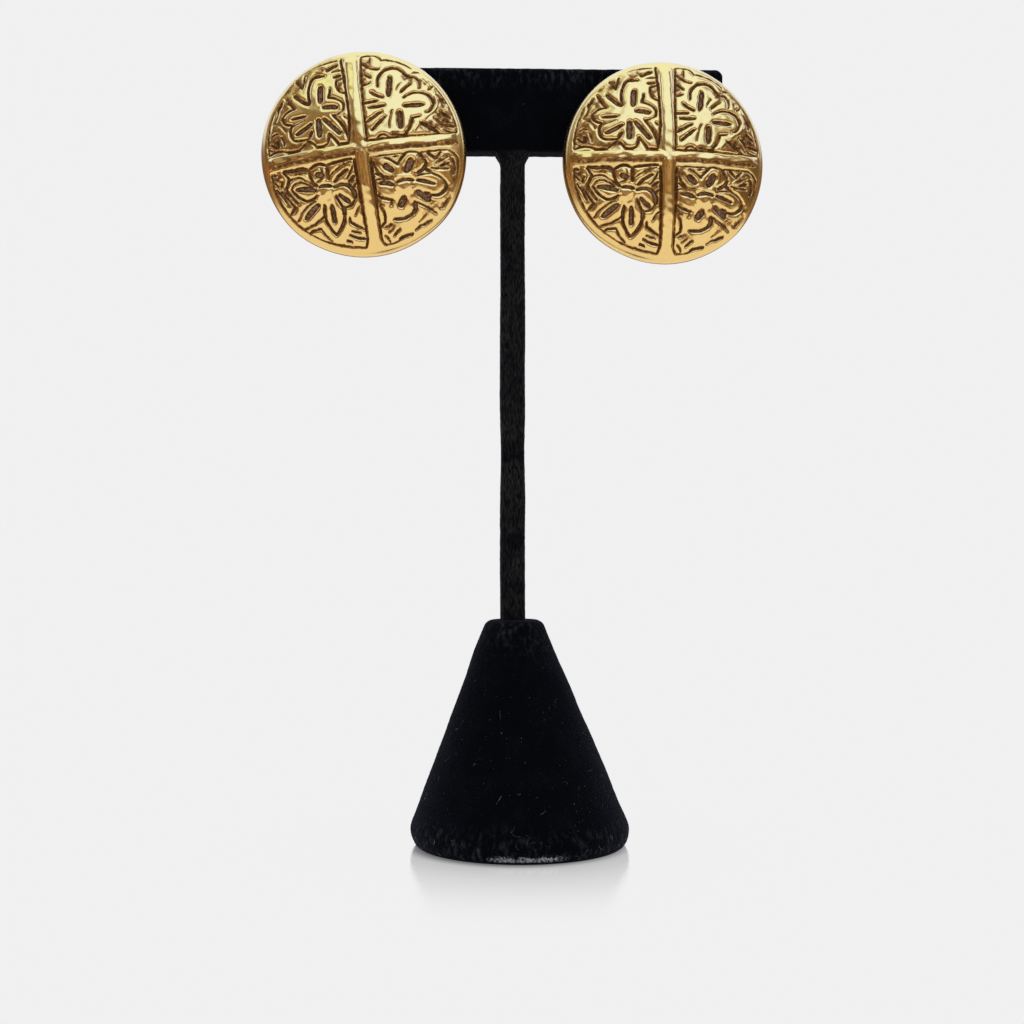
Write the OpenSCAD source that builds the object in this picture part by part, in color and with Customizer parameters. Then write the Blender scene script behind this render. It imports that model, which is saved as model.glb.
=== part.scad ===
// Pair of round domed clip-on earrings on a velvet T-bar stand.
// Millimetres. Origin: middle of the stand's underside. Front: -Y, up: +Z.
// A disc is drawn lying down in its own frame, with its face toward +Z and its top toward +Y.

/* [Stand] */
// Height of the stand, floor to the middle of the bar's top
stand_h = 129.2; // [110:0.2:150]
// Height of the cone base
base_h = 37.5; // [30:0.5:45]
// Radius of the flat underside of the base
base_foot_r = 15.4; // [14:0.2:18]
// Radius of the soft lower edge of the base
base_edge_r = 2.8; // [1:0.1:3]
// Radius of the flat top of the base
base_top_r = 3.5; // [3.4:0.1:5]
// Radius of the soft upper edge of the base
base_shoulder_r = 1.7; // [0.8:0.1:2]
// How far the post stands to the right of the base's middle
post_x = -0.7; // [-1:0.1:1]
// Width of the post, left to right
post_w = 4.1; // [3:0.1:4.2]
// Depth of the post, front to back
post_d = 3.5; // [2.5:0.1:4]
// How far the cloth at the neck flares out on each side
neck_flare = 0.9; // [0.3:0.05:1]
// Height of that flare
neck_h = 2.4; // [1.5:0.1:4]

/* [Crossbar] */
// Length of the bar
bar_w = 69.2; // [60:0.2:80]
// How far the bar's middle is to the right of the base's middle
bar_x = -0.1; // [-1:0.1:1]
// How much the bar rises to the right, in degrees
bar_tilt = 0.6; // [0:0.1:1]
// Height of the bar
bar_h = 13.9; // [11:0.1:14]
// Depth of the bar, cloth included
bar_d = 6; // [5:0.1:6.2]
// Radius of the bar's soft corners
bar_corner_r = 1.3; // [0.8:0.1:2]

/* [Disc] */
// Radius of a disc's outline
disc_r = 16.7; // [16:0.1:17.5]
// Height of the dome's middle over the plane of the rim's back edge
dome_h = 5.7; // [5.2:0.1:6.5]
// Radius of the sphere that the dome is cut from
dome_sphere_r = 41.5; // [38:0.5:46]
// Radius of the rounded shoulder between dome and rim
rim_roll_r = 1.6; // [1.2:0.1:2]
// Thickness of the cast wall
wall = 1.3; // [1:0.1:1.6]
// Half width of the two ribs that cross on the dome
rib_half = 1; // [0.8:0.05:1.2]
// Height of the ribs over the dome
rib_h = 0.4; // [0.25:0.05:0.5]
// Depth of the grooves of the floral relief
groove_depth = 0.5; // [0.3:0.05:0.7]
// Width of the groove round each flower
groove_w = 0.45; // [0.3:0.05:0.6]

/* [Clip] */
// Width of the spring clip
clip_w = 5; // [4:0.2:6]
// Thickness of the clip's strip
clip_t = 1; // [0.8:0.1:1.2]
// Radius of the round pad at the end of the clip
pad_r = 4; // [3:0.1:4.2]
// Height of the middle of that pad over the middle of the disc
pad_up = 7; // [6:0.2:8]
// Radius of the hinge pin
pin_r = 0.6; // [0.5:0.05:0.7]

/* [Hidden] */
$fn = 96;
eps = 0.01;

// Gap between pieces that fit into each other
fit_gap = 0.1;
// How far the post goes into the base and into the bar
base_tenon = 8;
bar_tenon = 5;
bar_low = stand_h - bar_h;
// Corners of the post, and how much thinner the neck is than the post, front and back together
post_corner_r = 0.8;
neck_step = 0.4;

// Where the middle of each disc's rim plane is from the post at the height of the bar's top, and how
// it turns, in degrees: yaw turns the face to the viewer's right, pitch up, and roll anticlockwise.
LEFT_PLACE = [-24.6, -4.4, -15.4];
LEFT_TURN = [-4.5, 1, 8];
RIGHT_PLACE = [24.5, -4.4, -16.1];
RIGHT_TURN = [2.5, 2.5, 0];

// The dome's sphere, in the disc's frame
sphere_z = dome_h - dome_sphere_r;
// Inner radius of the rim wall, which is a little thicker than the dome
rim_extra = 0.1;
hollow_r = disc_r - wall - rim_extra;
rim_chamfer = 0.3;
// The ribs are arcs of a round rod, sunk in the dome, and die out just inside the shoulder
rib_stop = 1.1;
rib_end_r = disc_r - rib_stop;
rib_clear = 0.15;
rib_rod_r = (pow(rib_half, 2) + pow(rib_h, 2)) / (2 * rib_h);
rib_sink = rib_rod_r - rib_h;

// Panels: distance of their straight edges from the middle, and radius of their round edge
PANEL_EDGE = 1.2;
PANEL_R = 15.5;
// Width of the groove that frames each panel
frame_w = 0.4;

// Flowers. Each row of FLOWERS is a panel: hub position, hub radius.
HUB_AT = 0;
HUB_R = 1;
FLOWERS = [
    [[6.1, 6.8], 2.1],
    [[-6.6, 6.9], 2.1],
    [[-7, -6], 1.5],
    [[5.8, -6.5], 1.5]
];

// Petals, one table a flower: angle, reach from the hub, widest width, slot start, slot end, slot width
ANGLE = 0;
REACH = 1;
WIDTH = 2;
SLOT_FROM = 3;
SLOT_TO = 4;
SLOT_W = 5;
PETALS = [
    [
        [94, 5.6, 2.7, 1.4, 4.2, 0.9],
        [-6, 6.2, 3.2, 1.8, 4.6, 0.7],
        [-83, 5.2, 2.6, 2, 4.3, 1],
        [-135, 6.2, 1.9, 3, 5.9, 0.6],
        [184, 4.6, 1.8, 1.7, 4.1, 0.6],
        [150, 4.6, 1.8, 2, 4.1, 0.6],
        [40, 6, 2.7, 1.8, 4.2, 0.6]
    ],
    [
        [70, 5.9, 3, 1.7, 4.3, 0.9],
        [6, 4.7, 2.7, 1.5, 3.5, 0.8],
        [-48, 7.2, 2.4, 1.8, 5.2, 0.9],
        [-88, 5.4, 2.4, 1.6, 4, 1],
        [-139, 5.8, 2.7, 2, 4.6, 0.8],
        [184, 5.4, 2.6, 1.6, 3.9, 0.6],
        [136, 6, 2.4, 1.6, 4.5, 0.8]
    ],
    [
        [163, 5.5, 3, 1.7, 4.6, 0.8],
        [-133, 6.2, 2.8, 2.2, 5, 0.9],
        [-80, 6.8, 3, 2.5, 4.9, 0.7],
        [-30, 5.1, 2.6, 2.2, 4.6, 0.7],
        [34, 6.3, 2.4, 2.4, 5.2, 0.7],
        [96, 4.2, 2.9, 2, 3.3, 1]
    ],
    [
        [136, 5, 2.6, 2.2, 4.2, 0.9],
        [62, 4.9, 3.2, 2.4, 4, 1.2],
        [-6, 6.7, 3, 2.4, 4.9, 0.7],
        [174, 4, 1.9, 1.8, 3.4, 0.7],
        [-103, 5.6, 3.4, 2, 3.6, 0.9],
        [-40, 4.8, 2.4, 3, 4.4, 0.9]
    ]
];

// Leaves between the flowers and the corners of the panels: middle, angle, length, width
LEAF_AT = 0;
LEAF_ANGLE = 1;
LEAF_L = 2;
LEAF_W = 3;
LEAVES = [
    [[13, 3], -30, 3.4, 0.7],
    [[2.6, 13.4], 10, 2, 0.6],
    [[-2.7, 12.6], 0, 1.8, 0.6],
    [[-13.6, 3], -70, 2.6, 0.8],
    [[-8.6, 12.3], -20, 2, 0.7],
    [[-13.5, -5.6], -55, 4, 0.7],
    [[-2.6, -12], -30, 2.4, 0.6],
    [[-2.8, -13.8], -20, 2.2, 0.6],
    [[-12.6, -2.6], -20, 2.6, 0.7],
    [[12.4, -3.2], 25, 2.8, 0.7],
    [[9.2, -10.6], -35, 3.4, 0.6],
    [[3.6, -13.9], 35, 2, 0.6],
    [[8.3, -12.8], 20, 2.6, 0.6]
];

// Clip and hinge, in the disc's frame: the bar lies between the seat and the pad
hinge_y = -1.1;
hinge_z = -1.9;
hinge_gap = 0.2;
knuckle_r = 1.45;
ear_t = 0.9;
ear_r = 1.4;
pin_proud = 0.3;
strap_w = 8.2;
strap_t = 1.2;
strap_z = 0.3;
seat_r = 3.2;
seat_z = -0.8;
pad_z = -7.65;
bend_r = 2.2;

// Rectangle with round corners, centred
module soft_rect(w, h, r) {
    square([w - 2 * r, h], center = true);
    square([w, h - 2 * r], center = true);
    for (x = [-1, 1], y = [-1, 1])
        translate([x * (w / 2 - r), y * (h / 2 - r)])
            circle(r);
}

// Block whose edges are round from the front, the side and the top
module soft_block(w, d, h, r) {
    intersection() {
        rotate([90, 0, 0])
            linear_extrude(d, center = true)
                soft_rect(w, h, r);
        rotate([90, 0, 90])
            linear_extrude(w, center = true)
                soft_rect(d, h, r);
        linear_extrude(h, center = true)
            soft_rect(w, d, r);
    }
}

// Half outline of the cone base: round lower edge, straight flank, round upper edge
module base_profile() {
    low = [base_foot_r, base_edge_r];
    high = [base_top_r, base_h - base_shoulder_r];
    run = high - low;
    // Direction square to the flank, which touches both round edges
    out = atan2(run[1], run[0]) - acos((base_edge_r - base_shoulder_r) / norm(run));
    translate(low)
        circle(base_edge_r);
    translate(high)
        circle(base_shoulder_r);
    polygon([
        [0, 0],
        [low[0], 0],
        low + base_edge_r * [cos(out), sin(out)],
        high + base_shoulder_r * [cos(out), sin(out)],
        [high[0], base_h],
        [0, base_h]
    ]);
}

module post_section(grow) {
    soft_rect(post_w + 2 * grow, post_d + 2 * grow, post_corner_r + grow);
}

module stand_base() {
    color("#131316")
        difference() {
            rotate_extrude()
                base_profile();
            translate([post_x, 0, base_h - base_tenon])
                linear_extrude(base_tenon + 1)
                    post_section(fit_gap);
        }
}

module stand_post() {
    color("#101013") {
        translate([post_x, 0, base_h - base_tenon])
            linear_extrude(bar_low + bar_tenon - base_h + base_tenon)
                post_section(0);
        translate([post_x, 0, bar_low - fit_gap - neck_h])
            rotate([90, 0, 0])
                linear_extrude(post_d - neck_step, center = true)
                    neck_outline();
    }
}

// The cloth's flare under the bar, with hollow sides
module neck_outline() {
    curve_r = (pow(neck_flare, 2) + pow(neck_h, 2)) / (2 * neck_flare);
    difference() {
        translate([-post_w / 2 - neck_flare, 0])
            square([post_w + 2 * neck_flare, neck_h]);
        for (side = [-1, 1])
            translate([side * (post_w / 2 + curve_r), 0])
                circle(curve_r);
    }
}

module stand_crossbar() {
    color("#131316")
        difference() {
            translate([bar_x, 0, bar_low + bar_h / 2])
                rotate([0, -bar_tilt, 0])
                    soft_block(bar_w, bar_d, bar_h, bar_corner_r);
            translate([post_x, 0, bar_low - 1])
                linear_extrude(bar_tenon + 1 + fit_gap)
                    post_section(fit_gap);
        }
}

// Half outline of a solid dome: sphere, rounded shoulder that touches it, and upright rim of radius r
module dome_profile(r, sphere_r) {
    roll_x = r - rim_roll_r;
    roll_z = sphere_z + sqrt(pow(sphere_r - rim_roll_r, 2) - pow(roll_x, 2));
    intersection() {
        translate([0, sphere_z])
            circle(sphere_r, $fn = 360);
        square([roll_x * sphere_r / (sphere_r - rim_roll_r), 2 * dome_h]);
    }
    intersection() {
        translate([roll_x, roll_z])
            circle(rim_roll_r);
        square([2 * disc_r, 2 * dome_h]);
    }
    polygon([[0, 0], [r - rim_chamfer, 0], [r, rim_chamfer], [r, roll_z], [0, roll_z]]);
}

// A rib across the dome, along Y before it is turned
module rib(turn) {
    intersection() {
        translate([0, 0, sphere_z])
            rotate([0, 90, turn])
                rotate_extrude($fn = 180)
                    translate([dome_sphere_r - rib_sink, 0])
                        circle(rib_rod_r, $fn = 48);
        rotate_extrude()
            dome_profile(rib_end_r, dome_sphere_r + rib_h + rib_clear);
    }
}

// Hollow back of the casting
module hollow() {
    translate([0, 0, -eps])
        rotate_extrude()
            intersection() {
                translate([0, sphere_z])
                    circle(dome_sphere_r - wall, $fn = 360);
                square([hollow_r, 2 * dome_h]);
            }
}

// Pointed leaf shape along X from the origin, made of two arcs
module lens(l, w) {
    arc_r = (pow(l / 2, 2) + pow(w / 2, 2)) / w;
    intersection_for (side = [-1, 1])
        translate([l / 2, side * (arc_r - w / 2)])
            circle(arc_r);
}

module panel(inset, sx, sy) {
    intersection() {
        circle(PANEL_R - inset, $fn = 180);
        translate([sx * (PANEL_R + PANEL_EDGE + inset), sy * (PANEL_R + PANEL_EDGE + inset)])
            square(2 * PANEL_R, center = true);
    }
}

// Outline of a whole flower; grow widens it on every side
module flower(i, grow) {
    translate(FLOWERS[i][HUB_AT]) {
        circle(FLOWERS[i][HUB_R] + grow);
        for (p = PETALS[i])
            rotate(p[ANGLE])
                lens(p[REACH] + grow, p[WIDTH] + 2 * grow);
    }
}

module slots(i) {
    translate(FLOWERS[i][HUB_AT])
        for (p = PETALS[i])
            rotate(p[ANGLE])
                translate([p[SLOT_FROM], 0])
                    lens(p[SLOT_TO] - p[SLOT_FROM], p[SLOT_W]);
}

module leaves() {
    for (leaf = LEAVES)
        translate(leaf[LEAF_AT])
            rotate(leaf[LEAF_ANGLE])
                translate([-leaf[LEAF_L] / 2, 0])
                    lens(leaf[LEAF_L], leaf[LEAF_W]);
}

// Everything that is sunk between the raised petals, leaves and borders
module sunk_outline() {
    for (i = [0 : len(FLOWERS) - 1]) {
        sx = sign(FLOWERS[i][HUB_AT][0]);
        sy = sign(FLOWERS[i][HUB_AT][1]);
        intersection() {
            panel(0, sx, sy);
            difference() {
                flower(i, groove_w);
                flower(i, 0);
            }
        }
        difference() {
            panel(0, sx, sy);
            panel(frame_w, sx, sy);
        }
        slots(i);
    }
    leaves();
}

module grooves() {
    difference() {
        linear_extrude(2 * dome_h)
            sunk_outline();
        translate([0, 0, sphere_z])
            sphere(dome_sphere_r - groove_depth, $fn = 180);
    }
}

// Soldered strap across the hollow, with the seat for the bar and two hinge ears
module back_strap() {
    intersection() {
        translate([-strap_w / 2, -disc_r, strap_z])
            cube([strap_w, 2 * disc_r, strap_t]);
        cylinder(h = 2 * dome_h, r = hollow_r + wall / 2);
    }
    translate([0, pad_up, seat_z])
        cylinder(h = strap_z - seat_z + eps, r = seat_r);
    for (side = [-1, 1])
        translate([side * (clip_w / 2 + hinge_gap + ear_t / 2), hinge_y, hinge_z])
            rotate([0, 90, 0])
                linear_extrude(ear_t, center = true)
                    ear_outline();
}

module ear_outline() {
    circle(ear_r);
    translate([hinge_z - strap_z - eps, -ear_r])
        square([strap_z - hinge_z + eps, 2 * ear_r]);
}

module hinge_pin() {
    pin_l = clip_w + 2 * (hinge_gap + ear_t + pin_proud);
    translate([-pin_l / 2, hinge_y, hinge_z])
        rotate([0, 90, 0])
            cylinder(h = pin_l, r = pin_r);
}

module disc() {
    difference() {
        union() {
            rotate_extrude()
                dome_profile(disc_r, dome_sphere_r);
            rib(0);
            rib(90);
        }
        hollow();
        grooves();
    }
    back_strap();
    hinge_pin();
}

// Spring clip: knuckle on the pin, strip under the bar, and round pad behind it
module clip() {
    rise_z = pad_z - clip_t;
    low_y = hinge_y - knuckle_r;
    difference() {
        union() {
            rotate([0, 90, 0])
                linear_extrude(clip_w, center = true) {
                    translate([-hinge_z, hinge_y])
                        circle(knuckle_r);
                    translate([-hinge_z, low_y])
                        square([hinge_z - rise_z - bend_r, clip_t]);
                    translate([-rise_z - bend_r, low_y + bend_r])
                        bend();
                    translate([-pad_z, low_y + bend_r])
                        square([clip_t, pad_up - low_y - bend_r]);
                }
            translate([0, pad_up, rise_z])
                cylinder(h = clip_t, r = pad_r);
        }
        translate([0, hinge_y, hinge_z])
            rotate([0, 90, 0])
                cylinder(h = 2 * clip_w, r = pin_r + hinge_gap, center = true);
    }
}

// Quarter turn of the strip
module bend() {
    intersection() {
        difference() {
            circle(bend_r);
            circle(bend_r - clip_t);
        }
        translate([0, -bend_r])
            square(bend_r);
    }
}

module place(spot, turn) {
    translate(spot + [post_x, 0, stand_h])
        rotate([0, 0, turn[0]])
            rotate([90 - turn[1], 0, 0])
                rotate([0, 0, turn[2]])
                    children();
}

module disc_left() {
    color("#c9983f")
        place(LEFT_PLACE, LEFT_TURN)
            disc();
}

module disc_right() {
    color("#c9983f")
        place(RIGHT_PLACE, RIGHT_TURN)
            disc();
}

module clip_left() {
    color("#b98d45")
        place(LEFT_PLACE, LEFT_TURN)
            clip();
}

module clip_right() {
    color("#b98d45")
        place(RIGHT_PLACE, RIGHT_TURN)
            clip();
}

stand_base();
stand_post();
stand_crossbar();
disc_left();
disc_right();
clip_left();
clip_right();
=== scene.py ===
"""Pair of domed clip-on earrings on a velvet T-bar stand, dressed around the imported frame.

Sizes are named in millimetres and become metres where a mesh is made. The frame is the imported
model's own: origin in the middle of the stand's underside, front toward -Y, up along +Z.
A disc has a frame of its own: u to the right, v up and w out of the face, from the middle of
the rim's back edge. A Span is two numbers that belong together. Where it shapes an effect, the
effect starts at the first and is full at the second.
"""

import logging
import math
import random
from dataclasses import dataclass
from enum import Enum
from typing import NamedTuple, Sequence

import bmesh
import bpy
import numpy as np
from mathutils import Matrix, Vector

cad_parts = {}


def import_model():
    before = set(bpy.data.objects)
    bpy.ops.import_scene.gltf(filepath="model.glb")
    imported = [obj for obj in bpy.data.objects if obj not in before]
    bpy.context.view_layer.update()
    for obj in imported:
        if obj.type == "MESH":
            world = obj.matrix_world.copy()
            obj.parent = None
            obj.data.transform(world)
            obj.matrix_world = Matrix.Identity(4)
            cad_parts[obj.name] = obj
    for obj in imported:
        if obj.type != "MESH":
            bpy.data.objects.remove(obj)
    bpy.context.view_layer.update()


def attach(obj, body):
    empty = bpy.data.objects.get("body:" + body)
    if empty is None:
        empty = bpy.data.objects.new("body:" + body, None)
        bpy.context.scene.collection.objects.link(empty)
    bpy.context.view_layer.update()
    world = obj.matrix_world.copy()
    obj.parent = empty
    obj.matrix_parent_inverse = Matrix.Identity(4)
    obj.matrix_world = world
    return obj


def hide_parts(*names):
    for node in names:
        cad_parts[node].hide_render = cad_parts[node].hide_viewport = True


MM = 0.001
QUARTER = math.pi / 2
RECESS_AND_SHADE = "recess"
WORN_AND_LIT = "worn"
LOG = logging.getLogger("earrings")

# In a disc's frame: the hinge pin's axis, and the middle of the seat and of the clip's pad.
HINGE_V = -1.1
HINGE_W = -1.9
GRIP_V = 7.0

Array = np.ndarray
Socket = bpy.types.NodeSocket
Material = bpy.types.Material
Piece = bpy.types.Object
Faces = list[tuple[int, ...]]
Shell = tuple[Array, Faces]
Span = tuple[float, float]
Triple = tuple[float, float, float]
Colour = tuple[float, float, float]


class Slot(Enum):
    """Material slots of the record."""

    VELVET = "velvet"
    ANTIQUED_GOLD = "antiqued_gold"
    PLAIN_GOLD = "plain_gold"


class Side(Enum):
    """Which of the two earrings, as the viewer sees them."""

    LEFT = "left"
    RIGHT = "right"


class Cut(NamedTuple):
    """A stroke of the relief: its ends, how far its middle bows to the left, and its width."""

    u1: float
    v1: float
    u2: float
    v2: float
    bow: float
    width: float


class Mound(NamedTuple):
    """A soft oval patch of the relief: middle, half lengths, turn in degrees, and height or strength."""

    u: float
    v: float
    along: float
    across: float
    turn: float
    height: float


# Strokes cut in the upper right panel, as rows of Cut.
CUTS_UPPER_RIGHT = (
    (1.1, 0.9, 1.3, 7.8, 0, 0.35), (1.3, 7.8, 1.8, 15.1, 0.1, 0.35),
    (1.8, 15.2, 3.9, 15.2, 0.1, 0.25), (3.9, 15.2, 4.9, 14.2, 0.1, 0.25),
    (4.9, 14.3, 9.6, 12.3, 0.4, 0.25), (9.7, 11.5, 11.4, 11.2, 0.2, 0.25),
    (11.4, 11.2, 13.3, 8.3, 0.1, 0.25), (13.4, 8.1, 15, 4.6, 0.2, 0.25),
    (15, 4.6, 15.5, 1, 0.2, 0.3), (0.9, 1, 8.8, 1, 0, 0.35),
    (8.8, 1, 15.4, 0.9, 0, 0.22), (3.9, 9.7, 5.3, 12.4, 0.45, 0.45),
    (5.3, 12.4, 8.2, 11.8, 0.6, 0.5), (8.2, 11.8, 9.6, 10.8, -0.3, 0.45),
    (9.6, 10.9, 10.5, 8.7, 0.5, 0.35), (6.7, 8.8, 7.6, 10, 0, 0.2),
    (7.5, 8.3, 9.2, 9.6, 0.1, 0.4), (5.5, 8.1, 6, 11, 0, 0.85),
    (7.8, 7.3, 10.6, 8, 0.35, 0.35), (10.6, 8, 12.4, 6, 0.5, 0.5),
    (12.4, 6, 11.1, 4.6, 0.3, 0.35), (7.8, 6, 10.7, 5.95, 0, 0.7),
    (10, 4.1, 8.8, 3.9, 0.05, 0.35), (8.8, 3.9, 7, 1.2, 0.3, 0.45),
    (6.85, 4.9, 6.7, 2.6, 0, 0.95), (5.7, 5.5, 4.8, 2.6, -0.15, 0.2),
    (5.2, 1.5, 7.6, 1.3, -0.1, 0.35), (2.6, 1.1, 4.7, 1.1, 0.55, 0.35),
    (4.4, 4.5, 2.1, 2.6, 0, 0.5), (3.9, 5.4, 1.4, 4, 0, 0.5),
    (4.5, 6.4, 2.1, 6.3, 0, 0.55), (3.4, 7.3, 1.3, 7.15, 0, 0.5),
    (4.4, 7.8, 2.7, 8.9, 0.1, 0.5), (1.4, 10.2, 2.7, 10.5, 0, 0.4),
    (2.1, 12.1, 2.9, 11.4, 0, 0.4), (1.8, 14, 2.9, 13.1, 0, 0.35),
    (2.9, 13.1, 4.4, 12.8, -0.1, 0.4), (3.2, 14.9, 3, 13.6, 0, 0.25),
    (10, 2.9, 12.6, 1.1, 0.15, 0.55), (12.4, 3.5, 13.4, 2.1, 0.15, 0.4),
    (13.5, 4.5, 14.7, 3.5, 0, 0.45), (13.9, 2.3, 15.2, 2, 0, 0.5),
    (13.6, 1.5, 15.3, 1, -0.1, 0.3), (13, 7.6, 14, 5.2, 0.2, 0.2),
    (12, 8.4, 12.6, 8.9, 0, 0.3), (13.8, 6.3, 14.3, 5.9, 0, 0.3),
)
# Strokes cut in the upper left panel, as rows of Cut.
CUTS_UPPER_LEFT = (
    (-1.5, 15.2, -1.3, 11, 0, 0.45), (-1.3, 11, -1.25, 6, 0, 0.35),
    (-1.25, 6, -1.75, 1.2, 0.1, 0.4), (-15, 1.4, -12.6, 1.6, 0.2, 0.4),
    (-12.6, 1.6, -10, 1.2, -0.2, 0.4), (-10, 1.2, -8.4, 2.4, 0, 0.35),
    (-8.4, 2.4, -7.2, 1.3, 0.2, 0.4), (-7.2, 1.3, -5.2, 1.5, -0.25, 0.4),
    (-5.2, 1.5, -4.8, 3, -0.05, 0.4), (-4.8, 3, -3.5, 1.1, 0.1, 0.5),
    (-3.6, 1.1, -1.8, 1.1, 0, 0.35), (-15.1, 1.4, -14, 6.9, 0.3, 0.3),
    (-14, 6.9, -10.4, 12.4, 0.4, 0.3), (-10.4, 12.4, -6.9, 14.4, 0.2, 0.4),
    (-6.9, 14.4, -2.2, 15.2, 0.15, 0.22), (-7.2, 8.6, -7.1, 11.5, 0.25, 0.45),
    (-7.1, 11.5, -4.5, 12.9, 0.75, 0.5), (-5.55, 8.6, -5.3, 10.9, 0, 0.95),
    (-9.6, 10.3, -7.5, 8.5, -0.15, 0.7), (-11.2, 10.3, -9.9, 8.1, -0.1, 0.4),
    (-10.1, 8.1, -12.1, 7, -0.3, 0.35), (-12.1, 7, -10.8, 5.6, -0.4, 0.45),
    (-9.4, 13, -8.2, 11.3, 0, 0.35), (-8.2, 11.3, -7.6, 13.4, 0, 0.3),
    (-3.8, 10.4, -4.2, 9, 0.1, 0.4), (-4.2, 9, -2.4, 8.2, 0.15, 0.4),
    (-2.4, 8.2, -2, 6.6, 0.3, 0.4), (-2, 6.6, -3.9, 5.9, 0.15, 0.3),
    (-5.1, 7.5, -3.1, 7.2, 0.1, 0.8), (-4, 13.75, -2.35, 14.4, 0, 0.55),
    (-3.2, 13.3, -1.6, 13.4, 0, 0.25), (-2.9, 12.4, -1.9, 12.5, 0, 0.5),
    (-2.7, 11.6, -1.5, 12, 0, 0.3), (-2.7, 11.5, -1.5, 9.3, -0.45, 0.4),
    (-2, 5.4, -1.5, 5, 0, 0.35), (-5.3, 5.6, -3.1, 2.9, 0, 0.8),
    (-3.8, 5.9, -1.7, 1.6, 0.35, 0.45), (-6.25, 5.5, -6.35, 3, 0, 0.95),
    (-7.55, 5.1, -10, 3.85, 0.05, 0.75), (-10.6, 5.5, -10.7, 3, -0.45, 0.45),
    (-10.7, 3, -8.2, 2.8, -0.15, 0.4), (-8.1, 2.9, -7.6, 3.9, -0.1, 0.5),
    (-8.3, 6.6, -10.5, 6.55, 0, 0.5), (-8.6, 5.9, -10.5, 5.3, 0, 0.2),
    (-12.6, 9, -13.6, 6.4, 0.3, 0.25), (-13.6, 6.4, -11.8, 4.7, 0.3, 0.25),
    (-12.7, 8.5, -11.9, 9.7, 0, 0.4), (-14.2, 4.3, -13.1, 4.6, 0.2, 0.3),
    (-14.6, 3.1, -13.6, 2.4, 0, 0.4), (-13.5, 3.4, -13.3, 2.4, 0, 0.45),
    (-12.7, 4, -12.3, 2.5, 0.1, 0.3), (-15, 2.4, -14.2, 1.9, 0, 0.3),
)
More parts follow.
